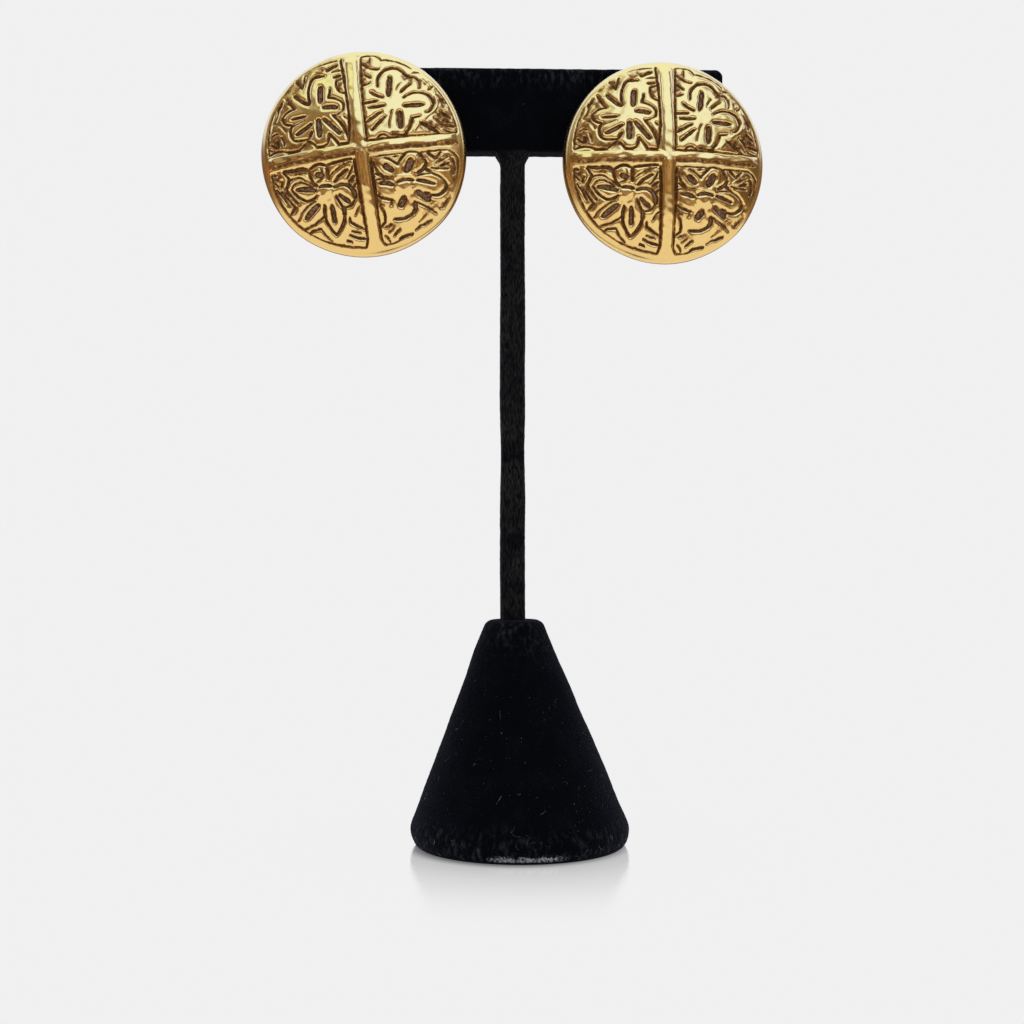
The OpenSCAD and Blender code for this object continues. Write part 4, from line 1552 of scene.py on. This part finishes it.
@dataclass(frozen=True)
class Clip:
    """Plain spring clip, closed on the bar: knuckle on the pin, strip under the bar, round pad.

    Attributes:
        pad_w: face of the pad that presses on the bar.
        dish: how far in from its edge the pad is hollowed, and how deep in its middle.
    """

    width: float = 5.0
    thick: float = 1.0
    knuckle_r: float = 1.45
    knuckle_soft: float = 0.15
    knuckle_sides: int = 40
    bore_r: float = 0.8
    bend_r: float = 2.2
    strip_soft: float = 0.3
    pad_w: float = -7.65
    pad_r: float = 4.0
    pad_soft: float = 0.25
    pad_sides: int = 56
    dish: Span = (0.8, 0.1)
    dish_edge: float = 0.02

    def build(self, shells: Shells) -> None:
        """Adds the clip to shells, in the disc's frame.

        Args:
            shells: what it is added to.
        """
        shells.add(along_x(self.knuckle()), (0.0, HINGE_V, HINGE_W))
        shells.add(self.strip())
        shells.add(self.pad(), (0.0, GRIP_V, 0.0))

    def knuckle(self) -> Shell:
        """Draws the tube that turns on the pin.

        Returns:
            Points and faces, about the z axis.
        """
        half, soft = self.width / 2, self.knuckle_soft
        outer, inner = self.knuckle_r, self.bore_r
        profile = [(inner, -half), (outer - soft, -half), (outer, -half + soft)]
        profile += [(outer, half - soft), (outer - soft, half), (inner, half)]
        return ring_lathe(profile, self.knuckle_sides)

    def strip(self) -> Shell:
        """Draws the strip, from under the knuckle round the bend and up to the pad.

        Returns:
            Points and faces, in the disc's frame.
        """
        level = HINGE_V - self.knuckle_r + self.thick / 2
        back = self.pad_w - self.thick / 2
        r = self.bend_r - self.thick / 2
        turn_w = back + r
        path = [(0.0, level, w) for w in np.linspace(HINGE_W, turn_w, 10)]
        for a in np.linspace(0.0, QUARTER, 13)[1:]:
            path.append((0.0, level + r - r * math.cos(a), turn_w - r * math.sin(a)))
        path += [(0.0, v, back) for v in np.linspace(level + r, GRIP_V, 9)[1:]]
        return sweep(np.array(path), Vector((1.0, 0.0, 0.0)), self.width, self.thick, self.strip_soft)

    def pad(self) -> Shell:
        """Draws the round pad, a little dished on the side that presses on the bar.

        Returns:
            Points and faces, about the z axis.
        """
        low, high, r = self.pad_w - self.thick, self.pad_w, self.pad_r
        profile = [(0.0, low), *soft_corner(r, low, self.pad_soft)]
        profile += soft_corner(r, high, self.pad_soft, up=-1)[::-1]
        profile += [(r - self.dish[0], high - self.dish_edge), (0.0, high - self.dish[1])]
        return lathe(profile, self.pad_sides)


@dataclass(frozen=True)
class Stance:
    """Where a disc's frame is in the part's frame, and how it turns, in degrees."""

    spot: Triple
    yaw: float
    pitch: float
    roll: float

    def matrix(self) -> Matrix:
        """Works out the disc's frame.

        Returns:
            The frame as a matrix, in millimetres.
        """
        turns = ((self.yaw, "Z"), (90.0 - self.pitch, "X"), (self.roll, "Z"))
        matrix = Matrix.Translation(self.spot)
        for degrees, axis in turns:
            matrix = matrix @ Matrix.Rotation(math.radians(degrees), 4, axis)
        return matrix


STANCES = {
    Side.LEFT: Stance((-25.3, -4.4, 113.8), -4.5, 1.0, 8.0),
    Side.RIGHT: Stance((23.8, -4.4, 113.1), 2.5, 2.5, 0.0),
}


@dataclass(frozen=True)
class Earring:
    """One earring: the cast disc, its fittings and its clip."""

    side: Side
    dome: Dome = Dome()
    relief: Relief = Relief()
    ribs: Ribs = Ribs()
    waver: Ripple = Ripple(seed=31, length=3.4, height=0.022)
    fittings: Fittings = Fittings()
    clip: Clip = Clip()

    def build(self, finishes: Finishes) -> list[Piece]:
        """Builds and dresses the earring.

        Args:
            finishes: the materials.

        Returns:
            Its pieces, each riding and replacing its node.
        """
        where = self.side.value
        matrix = STANCES[self.side].matrix()
        pieces = []
        for name, maker, materials, slot, node in (
            ("dome", self.cast, [finishes.antiqued, finishes.plain], Slot.ANTIQUED_GOLD, "disc"),
            ("fittings", self.fittings.build, [finishes.plain], Slot.PLAIN_GOLD, "disc"),
            ("clip", self.clip.build, [finishes.plain], Slot.PLAIN_GOLD, "clip"),
        ):
            shells = Shells()
            maker(shells)
            shells.points = [turned(points, matrix) for points in shells.points]
            piece = shells.to_object(f"earring_{where}_{name}", materials, RECESS_AND_SHADE)
            pieces.append(settle(piece, slot, f"{node}_{where}"))
        return pieces

    def cast(self, shells: Shells) -> None:
        """Adds the casting to shells."""
        self.dome.build(shells, self.relief, self.ribs, self.waver)


@dataclass(frozen=True)
class ConeBase:
    """Velvet-covered cone, turned on a core that isn't quite true.

    Attributes:
        foot_r: radius out to the middle of the rounded foot's section.
        edge_r: radius of the rounded foot's section.
        tuck: how far the foot draws in under its widest place.
        lean: how far the cone's middle is to the right, at the foot and at the top.
    """

    foot_r: float = 15.4
    edge_r: float = 2.8
    tuck: float = 1.4
    top_r: float = 3.5
    shoulder_r: float = 1.7
    height: float = 37.5
    lean: Span = (0.6, -0.45)
    sides: int = 224
    flank_rows: int = 96
    arc_rows: int = 9
    under_rows: int = 6
    top_rows: int = 4
    free_z: float = 1.2
    free_r: float = 2.0
    girth: float = 9.0
    worn_left: Span = (-0.62, -0.22)
    worn_right: Span = (0.6, 0.2)
    worn_low: Span = (0.175, 0.7)
    worn_high: Span = (1.75, 1.3125)
    # Haze in the pile: dust low down, and painted light near the top, reached down from the top.
    haze: float = 0.3
    haze_low: Span = (8.0, 0.5)
    lit_top_span: Span = (9.0, 2.0)
    haze_share: float = 0.5
    lumps: Ripple = Ripple(seed=41, length=11.0, height=0.1)
    fuzz: Ripple = Ripple(seed=42, length=1.6, height=0.022)

    def slope(self) -> float:
        """Works out how far above level the flank faces, from the two sections that it touches.

        Returns:
            The angle, in radians.
        """
        run = (self.top_r - self.foot_r, self.height - self.shoulder_r - self.edge_r)
        return math.atan2(run[1], run[0]) - math.acos((self.edge_r - self.shoulder_r) / math.hypot(*run))

    def foot(self, turn: float) -> float:
        """Works out the rounded foot.

        Args:
            turn: how far above level its surface faces, in radians.

        Returns:
            The radius out to that place.
        """
        reach = self.tuck if turn < 0.0 else self.edge_r
        return self.foot_r + self.edge_r - reach * (1.0 - math.cos(turn))

    def profile(self) -> list[Span]:
        """Works out the cone's section.

        Returns:
            Radius and height pairs from the middle of the underside to the middle of the top.
        """
        slope = self.slope()
        rows = [(r, 0.0) for r in np.linspace(0.0, self.foot(-QUARTER), self.under_rows + 1)]
        for k in range(1, self.arc_rows + 1):
            turn = -QUARTER + (slope + QUARTER) * k / self.arc_rows
            rows.append((self.foot(turn), self.edge_r * (1.0 + math.sin(turn))))
        side = np.array([math.cos(slope), math.sin(slope)])
        shoulder = np.array([self.top_r, self.height - self.shoulder_r])
        start = np.array([self.foot_r, self.edge_r]) + self.edge_r * side
        run = shoulder + self.shoulder_r * side - start
        rows += [tuple(start + run * k / self.flank_rows) for k in range(1, self.flank_rows + 1)]
        for k in range(1, self.arc_rows + 1):
            turn = slope + (QUARTER - slope) * k / self.arc_rows
            rows.append(tuple(shoulder + self.shoulder_r * np.array([math.cos(turn), math.sin(turn)])))
        return rows + [(r, self.height) for r in np.linspace(self.top_r, 0.0, self.top_rows + 1)[1:]]

    def middle(self, height: Array) -> Array:
        """Returns how far the middle of the cone is to the right at each height."""
        return self.lean[0] + (self.lean[1] - self.lean[0]) * height / self.height

    def worn(self, front: Array, z: Array) -> Array:
        """Marks the frayed band on the front of the foot.

        Args:
            front: turns from the front, in radians.
            z: heights.

        Returns:
            1 where it is fully frayed and 0 outside the band.
        """
        band = smooth(*self.worn_low, z) * smooth(*self.worn_high, z)
        return band * smooth(*self.worn_left, front) * smooth(*self.worn_right, front)

    def hazy(self, z: Array) -> Array:
        """Returns the strength of the haze at each height: dust low down, and painted light near the top.
        """
        # Painted light: the pile is lighter near the top of the cone.
        top = self.haze_share * smooth(*(self.height - x for x in self.lit_top_span), z)
        return self.haze * np.maximum(smooth(*self.haze_low, z), top)

    def build(self, material: Material) -> Piece:
        """Builds and dresses the base.

        Args:
            material: its finish.

        Returns:
            The piece.
        """
        points, faces = lathe(self.profile(), self.sides)
        x, y, z = points.T
        out, turn = np.hypot(x, y), np.arctan2(y, x)
        free = smooth(0.0, self.free_z, z) * smooth(0.0, self.free_r, out)
        swell = (self.lumps.at(turn * self.girth, z) + self.fuzz.at(turn * out, z)) * free
        scale = 1.0 + swell / np.maximum(out, 1.0)
        moved = np.stack([x * scale + self.middle(z), y * scale, z], 1)
        shells = Shells()
        # The worn mask holds the frayed band and the haze: dust low down and painted light near the top.
        shells.add((moved, faces), mask=np.maximum(self.worn(turn + QUARTER, z), self.hazy(z) * free))
        piece = shells.to_object("stand_base_velvet", [material], WORN_AND_LIT)
        return settle(piece, Slot.VELVET, "stand_base")


@dataclass(frozen=True)
class Post:
    """Square wooden post wrapped in velvet, with the cloth gathered into a flare under the bar."""

    x: float = -0.7
    width: float = 4.1
    depth: float = 3.5
    low: float = 36.9
    high: float = 115.6
    corner: float = 0.8
    flare: float = 0.95
    neck: float = 2.7
    flare_power: float = 1.5
    rows: int = 150
    sides: int = 48
    fuzz_turns: float = 2.0
    waver: Ripple = Ripple(seed=51, length=14.0, height=0.09)
    fuzz: Ripple = Ripple(seed=52, length=1.5, height=0.03)

    def build(self, material: Material) -> Piece:
        """Builds and dresses the post.

        Args:
            material: its finish.

        Returns:
            The piece.
        """
        turn = np.linspace(0.0, math.tau, self.sides, endpoint=False) + math.pi / self.sides
        core = np.array([self.width / 2 - self.corner, self.depth / 2 - self.corner])
        ring = np.stack([np.cos(turn), np.sin(turn)], 1)
        section = np.sign(ring) * core + ring * self.corner
        points = []
        for z in np.linspace(self.low, self.high, self.rows):
            grow = self.flare * smooth(self.high - self.neck, self.high, z) ** self.flare_power
            level = np.full(self.sides, z)
            swell = self.waver.at(level, turn) + self.fuzz.at(level, turn * self.fuzz_turns)
            row = section * (1.0 + 2.0 * grow / self.width) + ring * swell[:, None] + (self.x, 0.0)
            points.append(np.column_stack([row, level]))
        faces: Faces = []
        for r in range(self.rows - 1):
            faces += bridge(r * self.sides, (r + 1) * self.sides, self.sides)
        last = (self.rows - 1) * self.sides
        faces += [tuple(range(self.sides))[::-1], tuple(range(last, last + self.sides))]
        shells = Shells()
        shells.add((np.vstack(points), faces))
        piece = shells.to_object("stand_post_velvet", [material], WORN_AND_LIT)
        return settle(piece, Slot.VELVET, "stand_post")


@dataclass(frozen=True)
class Crossbar:
    """Upright board wrapped in velvet, with soft corners and painted light along its top."""

    x: float = -0.1
    size: Triple = (69.2, 6.0, 13.9)
    top: float = 129.2
    tilt: float = 0.6
    corner: float = 1.3
    step: float = 0.45
    edge_power: int = 6
    swell_most: float = 0.03
    skew: float = 1.1
    # Painted light along the top of the bar: its strength, and its reach down from the top.
    haze: float = 0.24
    haze_span: Span = (5.5, 0.5)
    lumps: Ripple = Ripple(seed=61, length=16.0, height=0.05)
    fuzz: Ripple = Ripple(seed=62, length=1.7, height=0.025)

    def build(self, material: Material) -> Piece:
        """Builds and dresses the bar.

        Args:
            material: its finish.

        Returns:
            The piece.
        """
        points, faces = soft_block(self.size, self.corner, self.step)
        half = np.array(self.size) / 2
        out = points / half
        x, y, z = points.T
        swell = self.lumps.at(x, z + y) + self.fuzz.at(x, z * self.skew + y)
        outward = np.sign(out) * np.abs(out) ** self.edge_power
        moved = points + outward * np.minimum(swell, self.swell_most)[:, None]
        spot = Matrix.Translation((self.x, 0.0, self.top - half[2]))
        place = spot @ Matrix.Rotation(-math.radians(self.tilt), 4, "Y")
        # Painted light: the pile is lighter and hazier along the top of the bar, held in the worn mask.
        worn = self.haze * smooth(*(half[2] - x for x in self.haze_span), z)
        shells = Shells()
        shells.add((turned(moved, place), faces), mask=worn)
        piece = shells.to_object("stand_bar_velvet", [material], WORN_AND_LIT)
        return settle(piece, Slot.VELVET, "stand_crossbar")


@dataclass(frozen=True)
class Scatter:
    """Where loose matter settles on the base: round its front, and mostly low down.

    Attributes:
        turn: largest turn from the front, in radians.
        low: lowest height.
        reach: how far up it goes from there.
        crowd: power that crowds it low down.
    """

    turn: float
    low: float
    reach: float
    crowd: float

    def pick(self, rng: random.Random) -> Span:
        """Returns a turn from the front, and a height."""
        turn = rng.uniform(-self.turn, self.turn)
        return turn, self.low + self.reach * rng.random() ** self.crowd


@dataclass(frozen=True)
class Fluff:
    """Loose fibres and specks of dust held by the velvet of the base.

    Attributes:
        fibre_lift: how far a fibre's middle is off the cloth, and how far that goes up and down.
        speck_size: smallest size of a speck, and how much larger the largest is.
    """

    base: ConeBase = ConeBase()
    seed: int = 77
    fibres: int = 44
    fibre_spread: Scatter = Scatter(1.35, 1.0, 24.0, 3.2)
    fibre_r: float = 0.019
    fibre_steps: int = 9
    fibre_sides: int = 5
    fibre_bend: float = 3.6
    fibre_step: Span = (0.1, 0.3)
    fibre_lift: Span = (0.06, 0.07)
    fibre_wave: float = 0.8
    fibre_floor: float = 0.6
    specks: int = 460
    speck_spread: Scatter = Scatter(1.4, 0.8, 34.0, 1.7)
    speck_lift: float = 0.03
    speck_size: Span = (0.024, 0.05)
    speck_power: float = 3.0
    speck_ragged: Span = (0.7, 1.3)

    def on_base(self, turn: float, z: float, lift: float) -> Vector:
        """Finds a place on the base's cloth.

        Args:
            turn: from the front, in radians.
            z: height.
            lift: how far the place is off the cloth.

        Returns:
            The place.
        """
        base, slope = self.base, self.base.slope()
        start = base.edge_r * (1.0 + math.sin(slope))
        if z < start:
            rise = math.asin(max(-1.0, z / base.edge_r - 1.0))
            radius = base.foot(rise)
        else:
            rise = slope
            radius = base.foot_r + base.edge_r * math.cos(slope) - (z - start) * math.tan(slope)
        out = radius + lift * math.cos(rise)
        x = base.middle(z) + out * math.sin(turn)
        return Vector((x, -out * math.cos(turn), z + lift * math.sin(rise)))

    def fibre(self, rng: random.Random) -> Shell:
        """Draws one curved fibre that lies on the cloth.

        Args:
            rng: picks its place and its curve.

        Returns:
            Points and faces.
        """
        turn, z = self.fibre_spread.pick(rng)
        heading, bend = rng.uniform(0.0, math.tau), rng.uniform(-self.fibre_bend, self.fibre_bend)
        step = rng.uniform(*self.fibre_step)
        spots = []
        for k in range(self.fibre_steps):
            lift = self.fibre_lift[0] + self.fibre_lift[1] * math.sin(k * self.fibre_wave)
            spots.append(self.on_base(turn, z, lift))
            heading += bend / self.fibre_steps
            turn += step * math.cos(heading) / self.base.foot_r
            z = max(self.fibre_floor, z + step * math.sin(heading))
        return thread(spots, self.fibre_r, self.fibre_sides)

    def speck(self, rng: random.Random) -> Shell:
        """Draws one grain of dust, a ragged octahedron.

        Args:
            rng: picks its place and its size.

        Returns:
            Points and faces.
        """
        spot = np.array(self.on_base(*self.speck_spread.pick(rng), self.speck_lift))
        size = self.speck_size[0] + self.speck_size[1] * rng.random() ** self.speck_power
        corners = np.vstack([axis * end for axis in np.eye(3) for end in (1, -1)])
        points = [spot + size * rng.uniform(*self.speck_ragged) * corner for corner in corners]
        faces = [(0, 2, 4), (2, 1, 4), (1, 3, 4), (3, 0, 4), (2, 0, 5), (1, 2, 5), (3, 1, 5), (0, 3, 5)]
        return np.array(points), faces

    def build(self, material: Material) -> Piece:
        """Builds all fluff as one piece.

        Args:
            material: its finish.

        Returns:
            The piece.
        """
        rng = random.Random(self.seed)
        shells = Shells()
        for draw, count in ((self.fibre, self.fibres), (self.speck, self.specks)):
            for _ in range(count):
                shells.add(draw(rng))
        piece = shells.to_object("stand_base_lint", [material], WORN_AND_LIT)
        return settle(piece, Slot.VELVET)


@dataclass(frozen=True)
class Stand:
    """The T-bar stand."""

    base: ConeBase = ConeBase()
    bar: Crossbar = Crossbar()
    post: Post = Post()
    fluff: Fluff = Fluff()

    def build(self, finishes: Finishes) -> list[Piece]:
        """Builds and dresses the stand.

        Args:
            finishes: the materials.

        Returns:
            Its pieces.
        """
        return [
            self.base.build(finishes.velvet),
            self.bar.build(finishes.velvet),
            self.post.build(finishes.post_velvet),
            self.fluff.build(finishes.lint),
        ]


@dataclass(frozen=True)
class Glow:
    """A soft-edged patch of the surroundings, in degrees of bearing and elevation.

    Bearing 0 is straight in front of the stand, and grows to the viewer's right.
    """

    colour: Colour
    bearings: Span
    heights: Span
    soft: float = 4.0


@dataclass(frozen=True)
class Surroundings:
    """A light tent as the polished domes mirror it: bright above and below, dimmer at eye level.

    Attributes:
        side_drop: how many degrees lower the table's edge is at the sides.
    """

    backdrop: float = 0.875
    under: Colour = (0.92, 0.93, 0.93)
    above: Colour = (0.95, 1.25, 1.6)
    middle: Colour = (0.3, 0.195, 0.12)
    middle_dark: Colour = (0.09, 0.055, 0.04)
    middle_light: Colour = (0.54, 0.4, 0.27)
    even: Colour = (0.9, 0.9, 0.9)
    patches: tuple[Glow, ...] = (
        Glow((0.13, 0.12, 0.11), (50.0, 72.0), (-4.0, 54.0), 8.0),
        Glow((0.13, 0.12, 0.11), (-76.0, -58.0), (-4.0, 54.0), 8.0),
        Glow((0.2, 0.11, 0.06), (-75.0, 75.0), (-14.0, -2.0), 5.0),
        Glow((0.13, 0.075, 0.04), (-66.0, -40.0), (-10.0, 17.0), 6.0),
        Glow((0.5, 0.17, 0.06), (-68.0, -53.0), (-2.0, 8.0), 5.0),
        Glow((0.16, 0.1, 0.05), (43.0, 62.0), (-4.0, 17.0), 6.0),
        Glow((0.45, 0.42, 0.35), (-60.0, 60.0), (20.0, 60.0), 6.0),
        Glow((0.25, 0.2, 0.15), (-47.0, -18.0), (19.0, 37.0), 4.0),
        Glow((0.94, 1.25, 1.3), (-47.0, -18.0), (38.0, 56.0), 4.0),
        Glow((0.95, 1.27, 1.85), (-13.0, 40.0), (19.5, 66.0), 4.0),
        Glow((0.95, 1.27, 1.85), (35.0, 54.0), (31.0, 66.0), 4.0),
    )
    back: Colour = (0.87, 1.07, 1.75)
    back_low: Colour = (0.2, 0.12, 0.07)
    clouds: float = 6.0
    dark_span: Span = (0.35, 0.5)
    light_span: Span = (0.5, 0.68)
    back_span: Span = (74.0, 84.0)
    low_span: Span = (13.0, 22.0)
    above_span: Span = (56.0, 66.0)
    aside_span: Span = (55.0, 80.0)
    side_drop: float = 8.0
    under_span: Span = (-5.0, -10.0)

    def build(self) -> bpy.types.World:
        """Builds the world, which is the only light.

        Returns:
            The world.
        """
        world = bpy.data.worlds.new("light_tent")
        world.use_nodes = True
        nodes = Nodes(world.node_tree)
        way = nodes.add("ShaderNodeTexCoord").outputs["Generated"]
        axes = nodes.add("ShaderNodeSeparateXYZ", {0: way})
        rise = nodes.math("DEGREES", nodes.math("ARCSINE", axes.outputs[2]))
        ahead = nodes.math("MULTIPLY", axes.outputs[1], -1.0)
        bearing = nodes.math("DEGREES", nodes.math("ARCTAN2", axes.outputs[0], ahead))
        path = nodes.add("ShaderNodeLightPath").outputs
        room = self.room(nodes, way, bearing, rise)
        lit = nodes.tint(path["Is Diffuse Ray"], room, self.even)
        seen = nodes.math("MAXIMUM", path["Is Camera Ray"], path["Is Singular Ray"])
        shown = nodes.tint(seen, lit, (self.backdrop,) * 3)
        light = nodes.add("ShaderNodeBackground", {"Color": shown, "Strength": 1.0})
        nodes.add("ShaderNodeOutputWorld", {"Surface": light.outputs[0]})
        return world

    def room(self, nodes: Nodes, way: Socket, bearing: Socket, rise: Socket) -> Socket:
        """Paints what the polished metal mirrors.

        Args:
            nodes: the world's nodes.
            way: direction of view.
            bearing: its bearing, in degrees.
            rise: its elevation, in degrees.

        Returns:
            The colour in that direction.
        """
        clouds = nodes.add("ShaderNodeTexNoise", {"Vector": way, "Scale": self.clouds, "Detail": 2.0})
        lumps = clouds.outputs["Fac"]
        shade = nodes.tint(nodes.ramp(lumps, *self.dark_span), self.middle_dark, self.middle)
        colour = nodes.tint(nodes.ramp(lumps, *self.light_span), shade, self.middle_light)
        for patch in self.patches:
            across = self.window(nodes, bearing, patch.bearings, patch.soft)
            up = self.window(nodes, rise, patch.heights, patch.soft)
            colour = nodes.tint(nodes.math("MULTIPLY", across, up), colour, patch.colour)
        turned_away = nodes.math("ABSOLUTE", bearing)
        sides = nodes.tint(nodes.ramp(rise, *self.low_span), self.back_low, self.back)
        colour = nodes.tint(nodes.ramp(turned_away, *self.back_span), colour, sides)
        colour = nodes.tint(nodes.ramp(rise, *self.above_span), colour, self.above)
        aside = nodes.ramp(turned_away, *self.aside_span)
        lowered = nodes.math("MULTIPLY_ADD", aside, self.side_drop, rise)
        return nodes.tint(nodes.ramp(lowered, *self.under_span), colour, self.under)

    def window(self, nodes: Nodes, value: Socket, span: Span, soft: float) -> Socket:
        """Marks where a value is within a span.

        Args:
            nodes: the world's nodes.
            value: the value.
            span: its lower and upper end.
            soft: width of the soft edge at each end.

        Returns:
            1 within the span and 0 well outside it.
        """
        rising = nodes.ramp(value, span[0] - soft / 2, span[0] + soft / 2)
        falling = nodes.ramp(value, span[1] + soft / 2, span[1] - soft / 2)
        return nodes.math("MULTIPLY", rising, falling)


@dataclass(frozen=True)
class Floor:
    """White glossy table that mirrors the foot of the stand and fades into the backdrop, with a painted
    contact shadow round the foot.

    Attributes:
        mirror: share of mirrored light just outside the foot.
        foot_r: how far out that share is full.
        fade: how far out from there it falls to a third.
        painted_contact_shadow: painted contact shadow, a share of mirror added in place of the white glow
            in the line where the foot meets the table.
        contact_span: radii where that shadow starts and is full, from outside.
    """

    radius: float = 320.0
    mirror: float = 0.45
    foot_r: float = 17.6
    fade: float = 16.0
    painted_contact_shadow: float = 0.4
    contact_span: Span = (20.1, 16.1)
    end_span: Span = (62.0, 31.0)
    glass: Colour = (0.995, 0.985, 0.98)
    backdrop: float = 0.875
    wave: float = 0.4
    bump: Span = (0.8, 0.03)
    rings: int = 24
    sides: int = 96

    def build(self) -> None:
        """Builds the floor."""
        profile = [(self.radius * k / self.rings, 0.0) for k in range(self.rings, -1, -1)]
        shells = Shells()
        shells.add(lathe(profile, self.sides))
        floor = shells.to_object("floor", [self.material()], "unused")

    def material(self) -> Material:
        """Builds the table's finish, which turns into the backdrop's white away from the stand.

        Returns:
            The material.
        """
        material, nodes = new_material("table_white")
        place = nodes.place()
        away = nodes.add("ShaderNodeVectorMath", {0: place}, operation="LENGTH").outputs["Value"]
        away = nodes.math("DIVIDE", away, MM)
        past = nodes.math("MULTIPLY_ADD", away, -1.0 / self.fade, self.foot_r / self.fade)
        fall = nodes.math("MINIMUM", nodes.math("EXPONENT", past), 1.0)
        # Painted contact shadow: less white glow and more mirror in a ring where the foot meets the table.
        line = nodes.math("MULTIPLY", nodes.ramp(away, *self.contact_span), self.painted_contact_shadow)
        share = nodes.math("MULTIPLY_ADD", fall, self.mirror, line)
        share = nodes.math("MULTIPLY", share, nodes.ramp(away, *self.end_span))
        table = nodes.add("ShaderNodeBsdfPrincipled", {
            "Base Color": (*self.glass, 1.0),
            "Metallic": 1.0,
            "Roughness": 0.0,
            "Normal": nodes.bump(nodes.noise(place, self.wave), *self.bump),
        })
        white = nodes.add("ShaderNodeEmission", {"Color": (1.0, 1.0, 1.0, 1.0), "Strength": self.backdrop})
        nodes.surface("ShaderNodeMixShader", {0: share, 1: white.outputs[0], 2: table.outputs[0]})
        return material


@dataclass(frozen=True)
class Studio:
    """World, floor and camera. The light tent is the only light."""

    surroundings: Surroundings = Surroundings()
    floor: Floor = Floor()
    camera_spot: Triple = (-20.05, -275.32, 55.5)
    camera_yaw: float = -4.0
    lens: float = 58.0
    sensor: float = 36.0
    near: float = 10.0

    def build(self) -> None:
        """Builds the studio."""
        scene = bpy.context.scene
        scene.world = self.surroundings.build()
        scene.view_settings.view_transform = "Standard"
        self.floor.build()
        data = bpy.data.cameras.new("camera")
        data.lens = self.lens
        data.sensor_width = self.sensor
        data.clip_start = self.near * MM
        camera = bpy.data.objects.new("camera", data)
        camera.location = Vector(self.camera_spot) * MM
        camera.rotation_euler = (QUARTER, 0.0, math.radians(self.camera_yaw))
        scene.collection.objects.link(camera)
        scene.camera = camera


def main() -> None:
    """Loads the frame, builds the stand, the earrings and the studio."""
    logging.basicConfig(level=logging.INFO, format="%(name)s: %(message)s")
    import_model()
    finishes = Finishes()
    makers = [Stand(), *(Earring(side) for side in Side)]
    for maker in makers:
        for piece in maker.build(finishes):
            LOG.info("%s: %d faces", piece.name, len(piece.data.polygons))
    Studio().build()


if __name__ == "__main__":
    main()
